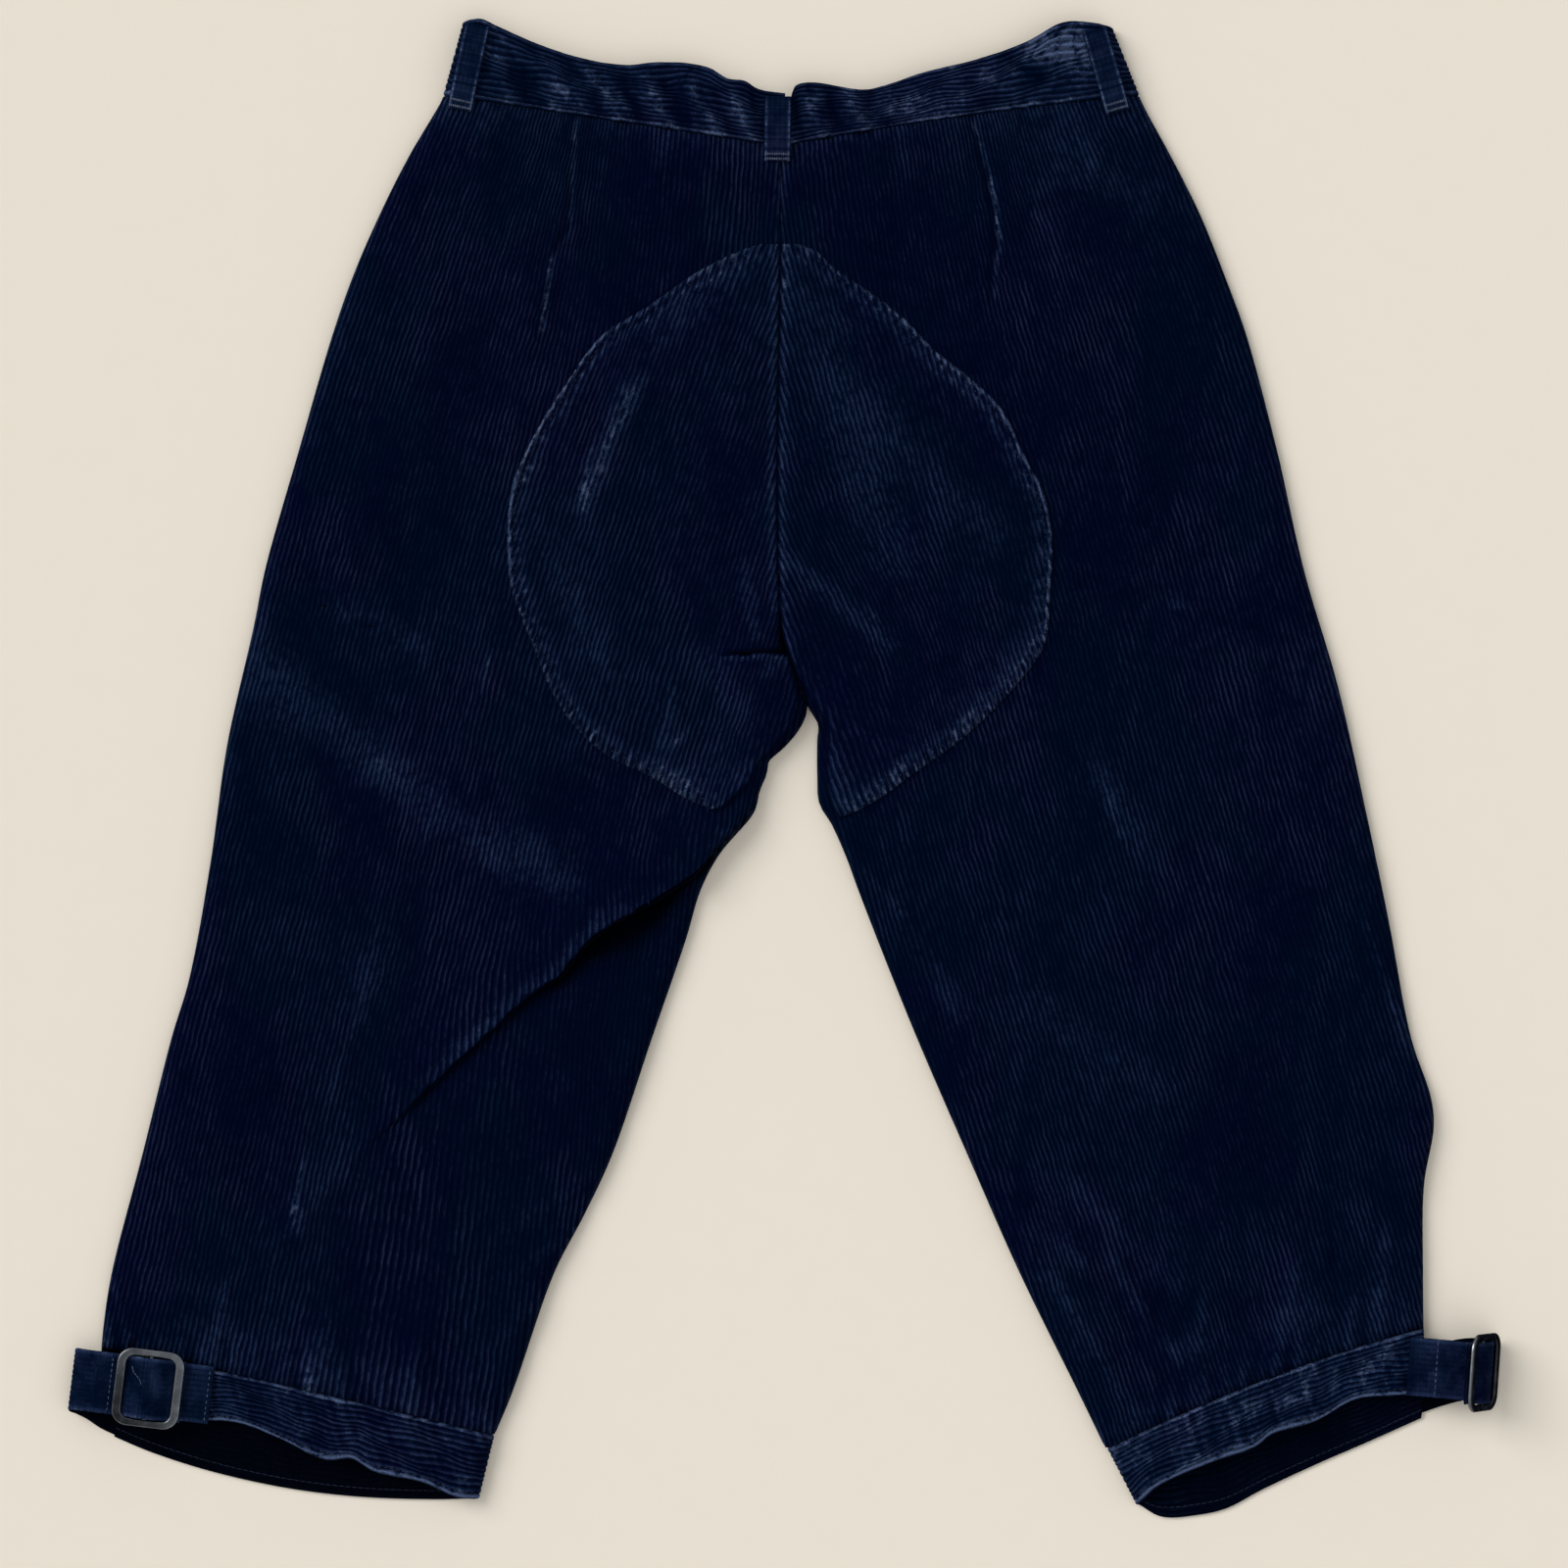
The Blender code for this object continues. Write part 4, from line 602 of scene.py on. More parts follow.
# Lines and distances
def smooth_line(points, step):
    """A smooth line through points, with its own points an even step apart."""
    points = np.array(points, dtype=float)
    before = np.vstack((2 * points[0] - points[1], points, 2 * points[-1] - points[-2]))
    pieces = []
    for index in range(len(points) - 1):
        a, b, c, d = before[index:index + 4]
        knots = np.cumsum([0] + [max(np.linalg.norm(q - p), 1e-6) ** 0.5 for p, q in ((a, b), (b, c), (c, d))])
        t = np.linspace(knots[1], knots[2], 12, endpoint=False)[:, None]
        ab = (knots[1] - t) / (knots[1] - knots[0]) * a + (t - knots[0]) / (knots[1] - knots[0]) * b
        bc = (knots[2] - t) / (knots[2] - knots[1]) * b + (t - knots[1]) / (knots[2] - knots[1]) * c
        cd = (knots[3] - t) / (knots[3] - knots[2]) * c + (t - knots[2]) / (knots[3] - knots[2]) * d
        abc = (knots[2] - t) / (knots[2] - knots[0]) * ab + (t - knots[0]) / (knots[2] - knots[0]) * bc
        bcd = (knots[3] - t) / (knots[3] - knots[1]) * bc + (t - knots[1]) / (knots[3] - knots[1]) * cd
        pieces.append((knots[2] - t) / (knots[2] - knots[1]) * abc + (t - knots[1]) / (knots[2] - knots[1]) * bcd)
    line = np.vstack(pieces + [points[-1:]])
    return even_line(line, step)


def even_line(line, step):
    reach = np.concatenate(([0], np.cumsum(np.linalg.norm(np.diff(line, axis=0), axis=1))))
    count = max(int(round(reach[-1] / step)), 1)
    places = np.linspace(0, reach[-1], count + 1)
    return np.stack([np.interp(places, reach, line[:, axis]) for axis in range(line.shape[1])], axis=1)


def edge_table(edge):
    """A table of X down Y as a smooth line of points, from the top down."""
    return smooth_line(np.stack((edge["x"], edge["y"]), axis=1), 2.0)


def across_line(line, y):
    return np.interp(-np.asarray(y, dtype=float), -line[:, 1], line[:, 0])


def nearest(line, x, y):
    """Distance to a line, side of it, and share of the way along it."""
    reach = np.concatenate(([0], np.cumsum(np.linalg.norm(np.diff(line, axis=0), axis=1))))
    best = np.full(np.shape(x), 1e9)
    side = np.zeros(np.shape(x))
    along = np.zeros(np.shape(x))
    for index in range(len(line) - 1):
        way = line[index + 1] - line[index]
        length = math.hypot(*way)
        off_x, off_y = x - line[index][0], y - line[index][1]
        share = np.clip((off_x * way[0] + off_y * way[1]) / length ** 2, 0, 1)
        distance = np.hypot(off_x - share * way[0], off_y - share * way[1])
        closer = distance < best
        best = np.where(closer, distance, best)
        side = np.where(closer, np.sign(off_x * way[1] - off_y * way[0]), side)
        along = np.where(closer, reach[index] + share * length, along)
    return best, side, along / reach[-1]


def streaks(rows, value, x, y):
    """Sum of soft streaks: each has two ends, a half width and a value."""
    total = np.zeros(np.shape(x))
    for x1, y1, x2, y2, width, strength in zip(
            rows["x1"], rows["y1"], rows["x2"], rows["y2"], rows["width"], rows[value]):
        way = np.array((x2 - x1, y2 - y1))
        length = math.hypot(*way)
        share = ((x - x1) * way[0] + (y - y1) * way[1]) / length ** 2
        offset = ((x - x1) * way[1] - (y - y1) * way[0]) / length
        past = np.maximum(np.maximum(-share, share - 1), 0) * length
        total += strength * np.exp(-(offset / width) ** 2 - (past / (FOLD_FADE * width)) ** 2)
    return total


def rounding(step, radius=EDGE_RADIUS):
    return np.sqrt(1 - (1 - np.clip(step / radius, 0, 1)) ** 2)


def pucker(along, distance, pitch, reach, seed):
    """Small uneven gathers beside a seam."""
    luck = np.random.default_rng(seed)
    starts = luck.uniform(0, 2 * math.pi, 3)
    lengths = pitch * np.array((1.0, 1.37, 0.71))
    total = sum(np.sin(2 * math.pi * along / length + start) for length, start in zip(lengths, starts))
    return total / 2 * np.exp(-(distance / reach) ** 2)


# Height of the back
LONG_LINE = np.stack((LONG_FOLD["x"], LONG_FOLD["y"]), axis=1)
LONG_REACH = np.concatenate(([0], np.cumsum(np.linalg.norm(np.diff(LONG_LINE, axis=0), axis=1))))


def long_fold(x, y):
    """Rise of the slanting fold, and how far its cloth is carried over."""
    distance, side, share = nearest(LONG_LINE, x, y)
    strength = np.interp(share, LONG_REACH / LONG_REACH[-1], LONG_FOLD["strength"])
    lip = LONG_FOLD_LIP * np.exp(-(distance / LONG_FOLD_LIP_REACH) ** 2)
    foot = LONG_FOLD_FOOT * np.exp(-(distance / LONG_FOLD_FOOT_REACH) ** 2)
    drop = np.interp(distance, LONG_FOLD_TURN["beyond"], LONG_FOLD_TURN["drop"])
    over = np.interp(distance, LONG_FOLD_TURN["beyond"], LONG_FOLD_TURN["over"])
    carried = LONG_FOLD_TURN["over"][0] * np.exp(-(distance / LONG_FOLD_OVER_REACH) ** 2)
    rise = np.where(side >= 0, lip, LONG_FOLD_LIP * (1 - drop) + foot * drop)
    return strength * rise, strength * np.where(side >= 0, carried, over)


def loft(leg, x, y):
    """Height of the back away from its folded edges, before the wales."""
    height = np.interp(-y, -LOFT["y"], LOFT["height"])
    for rows, strength in zip(leg["folds"], (1.0, CREASE_STRENGTH)):
        height = height + strength * streaks(rows, "rise", x, y)
    swells = leg["swells"]
    for centre_x, centre_y, reach_x, reach_y, rise in zip(*swells.values()):
        height = height + rise * np.exp(-((x - centre_x) / reach_x) ** 2 - ((y - centre_y) / reach_y) ** 2)
    if leg["long_fold"]:
        height = height + long_fold(x, y)[0]
    return height + 0.45 * waver(x, y, leg["waves"]) + 0.16 * waver(x * 3.1, y * 1.7, leg["waves"])


def fall(leg, y):
    return np.interp(-y, -leg["fall"]["y"], leg["fall"]["share"])


def row_line(leg, row, count=160, seam=None):
    """A seam across a leg, from the side to the inner edge."""
    side_y, inner_y, bow_x, bow_y = row
    start = np.array((across_line(leg["side_line"], side_y), side_y))
    end = np.array((across_line(leg["inner_line"], inner_y) + (leg["seam"] if seam is None else seam), inner_y))
    pull = (start + end) / 2 + np.array((bow_x, bow_y))
    share = np.linspace(0, 1, count)[:, None]
    return (1 - share) ** 2 * start + 2 * share * (1 - share) * pull + share ** 2 * end


def leg_outline(leg, waist, knee, seam):
    """The closed outline of a leg panel: waist seam, inner edge, knee seam, side."""
    top, foot = row_line(leg, leg[waist], seam=seam), row_line(leg, leg[knee], seam=seam)
    inner = leg["inner_line"] + np.array((seam, 0))
    inner = inner[(inner[:, 1] < top[-1][1]) & (inner[:, 1] > foot[-1][1])]
    side = leg["side_line"][(leg["side_line"][:, 1] < top[0][1]) & (leg["side_line"][:, 1] > foot[0][1])]
    return np.vstack((top, inner, foot[::-1], side[::-1]))


def back_height(leg, x, y, wall=0.0):
    """Height of the back, rounded down at its folded edges and dipped at its seams."""
    side = nearest(leg["side_line"], x, y)[0]
    inner, _, along = nearest(leg["inner_line"], x, y)
    folded = fall(leg, y)
    turn = rounding(side) * (1 - folded * (1 - rounding(inner)))
    waist = nearest(leg["waist_line"], x, y)
    knee = nearest(leg["knee_line"], x, y)
    dart = nearest(leg["dart_line"], x, y)
    gathers = 0.30 * pucker(y, inner, 8.0, 5.0, leg["seed"]) * (1 - folded)
    gathers = gathers + 0.30 * pucker(x, waist[0], 9.0, 8.0, leg["seed"] + 1)
    gathers = gathers + 0.65 * pucker(x, knee[0], 13.0, 16.0, leg["seed"] + 2)
    gathers = gathers + 0.30 * pucker(y, dart[0], 7.0, 5.0, leg["seed"] + 4)
    dip = (1 - folded) * SEAM_DIP * np.exp(-(inner / SEAM_REACH) ** 2)
    dip = dip + 0.9 * np.exp(-(dart[0] / 1.3) ** 2) - 0.5 * np.exp(-((dart[0] * dart[1] - 2.6) / 1.8) ** 2)
    dip = dip + 0.35 * np.exp(-(waist[0] / 1.6) ** 2) + 0.35 * np.exp(-(knee[0] / 1.6) ** 2)
    top = loft(leg, x, y) + gathers - wall
    return EDGE_REST + (top - EDGE_REST) * turn - dip * turn


# Shells whose columns follow the wales
def lean_field(rows, reach):
    def lean(x, y):
        total = np.zeros(np.shape(x))
        weights = np.full(np.shape(x), 1e-9)
        for place_x, place_y, value in zip(*rows.values()):
            weight = np.exp(-((x - place_x) ** 2 + (y - place_y) ** 2) / reach ** 2) + 1e-7
            total += weight * value
            weights += weight
        return total / weights
    return lean


class Wales:
    """Lines of the cloth's wales, traced down a panel row by row."""

    def __init__(self, lean, low, high, row_step, phases, start_y, seed):
        self.phases = phases
        self.rows = np.arange(high[1] + row_step, low[1] - 2 * row_step, -row_step)
        self.step = row_step
        waves = turns(5, 46.0, seed)
        small = turns(4, 21.0, seed + 40)

        def slope(x, y):
            wander = 0.030 * waver(x, y * 0.5, waves) + 0.022 * waver(x, y, small)
            return np.tan(np.radians(lean(x, np.full(np.shape(x), y)))) + wander

        width = high[0] - low[0] + 140
        count = int(width / WALE)
        wide = 1 / math.cos(math.radians(float(lean(np.array([(low[0] + high[0]) / 2]), start_y)[0])))
        starts = low[0] - 70 + WALE * wide * (
            np.repeat(np.arange(count), len(phases)) + np.tile(phases, count))
        first = int(np.argmin(abs(self.rows - start_y)))
        self.x = np.zeros((len(self.rows), len(starts)))
        self.x[first] = starts
        for way, stop in ((1, len(self.rows)), (-1, -1)):
            for row in range(first + way, stop, way):
                before = self.x[row - way]
                drop = self.rows[row] - self.rows[row - way]
                middle = before + slope(before, self.rows[row - way]) * drop / 2
                here = before + slope(middle, self.rows[row - way] + drop / 2) * drop
                self.x[row] = np.maximum.accumulate(here + np.arange(len(here)) * 1e-7)
        self.number = np.repeat(np.arange(count), len(phases)) + np.tile(phases, count)

    def flat(self, points):
        """Column and row of places, for the triangles' plan."""
        points = np.asarray(points)
        place = np.clip((self.rows[0] - points[:, 1]) / self.step, 0, len(self.rows) - 1.001)
        row = place.astype(int)
        column = np.zeros(len(points))
        columns = np.arange(self.x.shape[1])
        for index in np.unique(row):
            here = row == index
            share = place[here] - index
            above = np.interp(points[here, 0], self.x[index], columns)
            below = np.interp(points[here, 0], self.x[index + 1], columns)
            column[here] = above * (1 - share) + below * share
        return np.stack((column, place), axis=1)


def crossings(plan, level, axis):
    """Where a line of the plan crosses a level of one axis, on the other."""
    here, after = plan[:-1], plan[1:]
    low, high = np.minimum(here[:, axis], after[:, axis]), np.maximum(here[:, axis], after[:, axis])
    hit = (low <= level) & (level < high)
    share = (level - here[hit, axis]) / (after[hit, axis] - here[hit, axis])
    other = 1 - axis
    return np.sort(here[hit, other] + share * (after[hit, other] - here[hit, other]))


def inside_points(outline_plan, lines, shape, margin, every=(1, 1)):
    """Grid points inside an outline and clear of it and of other lines."""
    rows, columns = shape
    keep = np.zeros(shape, dtype=bool)
    index = np.arange(columns)
    for row in range(0, rows, every[1]):
        ends = crossings(outline_plan, row + 1e-6, 1)
        for start, stop in zip(ends[::2], ends[1::2]):
            keep[row] |= (index > start + margin) & (index < stop - margin)
        for line in lines:
            for place in crossings(line, row + 1e-6, 1):
                keep[row] &= abs(index - place) > margin
    near = min(margin, 0.45)
    for column in range(0, columns, 1):
        if not keep[:, column].any():
            continue
        for line in [outline_plan] + lines:
            for place in crossings(line, column + 1e-6, 0):
                low, high = int(math.ceil(place - near)), int(math.floor(place + near))
                keep[max(low, 0):high + 1, column] = False
    if every[0] > 1:
        keep[:, index % every[0] != 0] = False
    return keep


def broken_at_cells(line, plan, closed, shortest=0.3):
    """Points of a fine line where it passes from one cell of the plan to the next."""
    cell = np.stack((np.floor(plan[:, 0]), np.floor(plan[:, 1] * 2)), axis=1)
    change = np.any(cell[1:] != cell[:-1], axis=1)
    picked = [0]
    for index in np.nonzero(change)[0] + 1:
        if np.linalg.norm(line[index] - line[picked[-1]]) > shortest:
            picked.append(int(index))
    last = len(line) - 1
    if closed:
        while len(picked) > 3 and np.linalg.norm(line[picked[-1]] - line[0]) < shortest:
            picked.pop()
    elif np.linalg.norm(line[picked[-1]] - line[last]) > shortest:
        picked.append(last)
    return np.array(picked)


def turn_of(points):
    """Twice the signed area of a closed run of points."""
    x, y = points[:, 0], points[:, 1]
    return float(np.sum(x * np.roll(y, -1) - y * np.roll(x, -1)))


def triangles(points, edges, rim):
    """Triangles of the plan inside its rim, as numbers of the given points.

    A triangle between three rim points lies outside where it turns the other way."""
    found = geometry.delaunay_2d_cdt([Vector(point) for point in points], edges, [], 1, 1e-7, True)
    origin = [first[0] if first else None for first in found[3]]
    way = turn_of(points[:rim])
    faces = []
    for face in found[2]:
        corners = [origin[corner] for corner in face]
        if None in corners or len(set(corners)) < 3:
            continue
        if max(corners) < rim and turn_of(points[sorted(corners)]) * way <= 0:
            continue
        faces.append(corners)
    return faces


def shell(name, outline, wales, shape, upper, lower, draw_in, wear_and_painted_light, extra_lines=(), coarse=(5, 2), flip=False):
    """A closed panel: a fine face with wales, a plain face, and its edge all round.

    upper and lower give points from places, draw_in moves the outline for the
    plain face, and the fourth function gives how worn the pile is, with painted
    light and shade in the same values."""
    loop = even_line(np.vstack((outline, outline[:1])), 0.12)[:-1]
    loop_plan = wales.flat(loop)
    picked = broken_at_cells(loop, loop_plan, True)
    rim, rim_plan = loop[picked], loop_plan[picked]
    lines, plans = [], []
    for line in extra_lines:
        fine = even_line(line, 0.12)
        plan = wales.flat(fine)
        chosen = broken_at_cells(fine, plan, False, 0.5)
        lines.append(fine[chosen])
        plans.append(plan[chosen])
    closed_plan = np.vstack((rim_plan, rim_plan[:1]))
    keep = inside_points(closed_plan, plans, wales.x.shape, 0.42)
    row, column = np.nonzero(keep)
    places = np.stack((wales.x[row, column], wales.rows[row]), axis=1)
    grid_plan = np.stack((column, row), axis=1).astype(float)
    count = len(rim)
    edges = [(index, (index + 1) % count) for index in range(count)]
    start = count
    for line in lines:
        edges += [(start + index, start + index + 1) for index in range(len(line) - 1)]
        start += len(line)
    all_places = np.vstack([rim] + lines + [places])
    all_plan = np.vstack([rim_plan] + plans + [grid_plan])
    outer_faces = triangles(all_plan, edges, count)
    number = np.interp(all_plan[:, 0], np.arange(len(wales.number)), wales.number)
    phase = number % 1.0
    profile = np.interp(phase, np.append(wales.phases, 1.0), np.append(shape, 0.0))
    outer = upper(all_places[:, 0], all_places[:, 1], profile)
    inner_keep = inside_points(closed_plan, [], wales.x.shape, 3.2, coarse)
    row, column = np.nonzero(inner_keep)
    inner_places = np.vstack((draw_in(rim), np.stack((wales.x[row, column], wales.rows[row]), axis=1)))
    inner_plan = np.vstack((rim_plan, np.stack((column, row), axis=1).astype(float)))
    inner_faces = triangles(inner_plan, edges[:count], count)
    inner = lower(inner_places[:, 0], inner_places[:, 1])
    offset = len(outer)
    faces = [tuple(face) for face in outer_faces]
    faces += [tuple(offset + corner for corner in reversed(face)) for face in inner_faces]
    for index in range(count):
        after = (index + 1) % count
        faces.append((index, after, offset + after, offset + index))
    points = np.vstack((outer, inner))
    item = mesh_object(name, points, faces)
    inner_number = np.interp(inner_plan[:, 0], np.arange(len(wales.number)), wales.number)
    numbers = np.concatenate((number, inner_number))
    along = np.concatenate((all_places[:, 1], inner_places[:, 1]))
    paint(item, numbers, along,
          np.concatenate((wear_and_painted_light(all_places[:, 0], all_places[:, 1]), np.zeros(len(inner)))),
          np.concatenate((np.zeros(len(outer)), np.ones(len(inner)))))
    return item


def mesh_object(name, points, faces):
    """A closed mesh with its faces outwards, in metres, shaded smooth."""
    mesh = bpy.data.meshes.new(name)
    mesh.from_pydata([tuple(point) for point in np.asarray(points) * MM], [], faces)
    bm = bmesh.new()
    bm.from_mesh(mesh)
    bmesh.ops.recalc_face_normals(bm, faces=bm.faces)
    if bm.calc_volume(signed=True) < 0:
        bmesh.ops.reverse_faces(bm, faces=bm.faces)
    bm.to_mesh(mesh)
    bm.free()
    item = bpy.data.objects.new(name, mesh)
    bpy.context.scene.collection.objects.link(item)
    mesh.polygons.foreach_set("use_smooth", [True] * len(mesh.polygons))
    return item


def paint(item, numbers, along, wear_and_painted_light, inside):
    """The wales' own coordinates, how worn the cloth is with painted light and shade in the same values, and where
    it is its wrong side.
    """
    mesh = item.data
    corner = np.zeros(len(mesh.loops), dtype=int)
    mesh.loops.foreach_get("vertex_index", corner)
    layer = mesh.uv_layers.new(name="wales")
    pairs = np.stack((numbers[corner], along[corner]), axis=1)
    layer.data.foreach_set("uv", pairs.ravel().astype(np.float32))
    for name, values in (("wear_and_painted_light", wear_and_painted_light), ("inside", inside)):
        attribute = mesh.attributes.new(name, "FLOAT", "POINT")
        attribute.data.foreach_set("value", np.asarray(values, dtype=np.float32))


def finish_cloth(item, material, node, area, rests_on):
    item.data.materials.append(material)
    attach(item, "root")
    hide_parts(node)
    return item


def prepare(leg):
    leg["side_line"] = edge_table(leg["side"])
    leg["inner_line"] = edge_table(leg["inner"])
    leg["waves"] = turns(6, 60.0, leg["seed"])
    leg["waist_line"] = row_line(leg, leg["waist"], 40)
    leg["knee_line"] = row_line(leg, leg["knee"], 40)
    leg["dart_line"] = np.array(leg["dart"], dtype=float)


def inward(leg, rim, amount):
    """Moves an outline in from the folded edges by the cloth's thickness."""
    side, _, _ = nearest(leg["side_line"], rim[:, 0], rim[:, 1])
    inner, _, _ = nearest(leg["inner_line"], rim[:, 0], rim[:, 1])
    by_side = amount * np.clip(1 - side / 2.0, 0, 1)
    by_inner = amount * np.clip(1 - inner / 2.0, 0, 1) * fall(leg, rim[:, 1])
    shift = -leg["sign"] * by_side + leg["sign"] * by_inner
    return rim + np.stack((shift, np.zeros(len(rim))), axis=1)


def sway(leg, x, y):
    """The wales' small waver from side to side, none at the outline."""
    gap = np.minimum(nearest(leg["side_line"], x, y)[0], nearest(leg["inner_line"], x, y)[0])
    gap = np.minimum(gap, np.minimum(nearest(leg["waist_line"], x, y)[0], nearest(leg["knee_line"], x, y)[0]))
    small = 0.34 * waver(x * 3.4, y * 3.4, leg["waves"]) + 0.16 * waver(x * 7.5, y * 6.0, leg["waves"])
    return small * np.clip(gap / 5, 0, 1)


def wale_strength(leg, x, y):
    """How high the pile stands, in soft uneven patches."""
    patchy = 0.62 + 0.42 * waver(x * 1.7 + 50, y, leg["waves"]) + 0.16 * waver(x * 4.0, y * 3.0, leg["waves"])
    return np.clip(patchy, 0.12, 1.15)


def back_panel(side, material):
    leg = LEGS[side]
    name = "back_" + side
    outline = leg_outline(leg, "waist", "knee", leg["seam"])
    low, high = outline.min(axis=0), outline.max(axis=0)
    wales = Wales(lean_field(leg["leans"], LEAN_REACH), low, high, 5.2, WALE_PHASES, 0.0, leg["seed"])

    def upper(x, y, profile):
        relief = WALE_RISE * wale_strength(leg, x, y) * (profile - 0.6)
        z = back_height(leg, x, y) + relief
        x = x + sway(leg, x, y)
        if leg["long_fold"]:
            over = long_fold(x, y)[1] * np.clip((nearest(leg["inner_line"], x, y)[0] - 1.5) / 9, 0, 1)
            x = x + over * 0.66
            y = y - over * 0.75
        return np.stack((x, y, z), axis=1)

    def lower(x, y):
        return np.stack((x, y, back_height(leg, x, y, CLOTH)), axis=1)

    def wear_and_painted_light(x, y):
        total = 0.75 * streaks(leg["wear_and_painted_light"], "strength", x, y)
        # Painted light and shade on the folds and creases: raised ones paler, troughs darker.
        for rows, strength in zip(leg["folds"], (0.12, 0.34)):
            total = total + strength * streaks(rows, "rise", x, y)
        dart, dart_side, _ = nearest(leg["dart_line"], x, y)
        total = total + 0.75 * np.exp(-(dart / 1.5) ** 2) - 0.5 * np.exp(-((dart * dart_side - 3.0) / 1.4) ** 2)
        waist = nearest(leg["waist_line"], x, y)[0]
        total = total + 0.30 * np.exp(-(waist / 20) ** 2) + 0.2 * np.exp(-(waist / 2.5) ** 2)
        inner = nearest(leg["inner_line"], x, y)[0]
        outer = nearest(leg["side_line"], x, y)[0]
        knee = nearest(leg["knee_line"], x, y)[0]
        total = total + 0.45 * np.exp(-(inner / 3) ** 2) * (y > 70) + 0.30 * np.exp(-(outer / 6) ** 2)
        # Paler cloth by the knee seam, with painted light and shade on the gathers there.
        total = total + 0.40 * np.exp(-(knee / 16) ** 2) + 0.22 * pucker(x, knee, 13.0, 16.0, leg["seed"] + 2)
        # At the long fold: a painted highlight on the rolled lip, and a painted shadow on the cloth beneath it,
        # widest a little way down from its upper end.
        if leg["long_fold"]:
            distance, over, share = nearest(LONG_LINE, x, y)
            edge = np.interp(share, (0, 0.65, 0.85, 1), (1, 0.8, 0.2, 0))
            rolled = np.interp(share, (0.15, 0.35, 0.62, 0.8), (0.25, 1, 1, 0.5))
            lip = np.where(over >= 0, 0.75 * rolled * np.exp(-((distance - 2.5) / 3.2) ** 2), 0)
            deep = 6.5 + 12 * np.exp(-((share - 0.28) / 0.13) ** 2)
            shade = np.where(over < 0, -1.8 * np.exp(-(distance / deep) ** 2), 0)
            total = total + edge * (lip + shade)
        return total

    extra = []
    if leg["long_fold"]:
        line = smooth_line(LONG_LINE[1:-1], 1.0)
        way = np.gradient(line, axis=0)
        way /= np.linalg.norm(way, axis=1)[:, None]
        beyond = np.stack((-way[:, 1], way[:, 0]), axis=1)
        extra = [line + beyond * step for step in (-1.2, 0.0, 0.8, 1.6, 2.4, 3.2, 4.6)]
        extra = [run[run[:, 0] < across_line(leg["inner_line"], run[:, 1]) - FOLD_CLEAR] for run in extra]
    item = shell(
        name + "_cloth", outline, wales, WALE_SHAPE, upper, lower,
        lambda rim: inward(leg, rim, CLOTH), wear_and_painted_light, extra)
    finish_cloth(item, material, name, 0.160, ["front_%s_cloth" % side])
    return item


def front_panel(side, material):
    leg = LEGS[side]
    name = "front_" + side
    outline = leg_outline(leg, "front_waist", "front_knee", 0.0)
    low, high = outline.min(axis=0), outline.max(axis=0)
    lean = lean_field(leg["leans"], LEAN_REACH)
    wales = Wales(lean, low, high, 8.0, COARSE_PHASES, 0.0, leg["seed"] + 20)

    def upper(x, y, profile):
        return np.stack((x, y, 0.35 * (1 - profile)), axis=1)

    def lower(x, y):
        return np.stack((x, y, np.full(np.shape(x), CLOTH)), axis=1)

    item = shell(
        name + "_cloth", outline, wales, COARSE_SHAPE, upper, lower, lambda rim: rim,
        lambda x, y: 0.15 + 0 * x, (), (3, 2))
    finish_cloth(item, material, name, 0.160, [])
    return item


# Seat patches
def patch_outline(leg):
    edge = smooth_line(np.stack((leg["patch_edge"]["x"], leg["patch_edge"]["y"]), axis=1), 1.5)
    seam = np.stack((leg["patch_seam"]["x"] + leg["seam"], leg["patch_seam"]["y"]), axis=1)
    seam = smooth_line(seam, 1.5)
    seam = seam[seam[:, 1] < PATCH_TOP]
    top = np.array(((across_line(seam, PATCH_TOP), PATCH_TOP),))
    return edge, np.vstack((top, seam))


def patch_height(leg, edge, x, y):
    """Height of the patch, with its edge turned under and stitched down."""
    base = back_height(leg, x, y) + 0.35 * WALE_RISE + PATCH_LAY
    base = base + streaks(leg["patch_folds"], "rise", x, y)
    distance, _, along = nearest(edge, x, y)
    length = np.linalg.norm(np.diff(edge, axis=0), axis=1).sum()
    roll = 0.9 * np.exp(-((distance - 1.5) / 1.3) ** 2) - 0.55 * np.exp(-((distance - 3.9) / 0.9) ** 2)
    roll = roll + 0.40 * pucker(along * length, distance - 2, 7.5, 5.0, leg["seed"] + 5)
    hollow = 0.0
    if leg["long_fold"]:
        gap, side, share = nearest(np.array(FLAT_FOLD, dtype=float), x, y)
        fade = np.clip(np.minimum(share * 3, 1), 0, 1)
        rise = np.exp(-(gap / FLAT_FOLD_REACH) ** 2)
        below = (side >= 0) & (y < 60) | (y < 50)
        step = np.where(below, 1.0, np.clip(1 - gap / FLAT_FOLD_LIP, 0, 1))
        base = base + FLAT_FOLD_RISE * rise * step * fade
        hollow = 2.0 * np.exp(-((x - 1) / 5) ** 2 - ((y - 66) / 9) ** 2)
    else:
        hollow = -0.9 * np.exp(-((x - 4) / 4) ** 2 - ((y - 62) / 22) ** 2)
    return base + roll - hollow


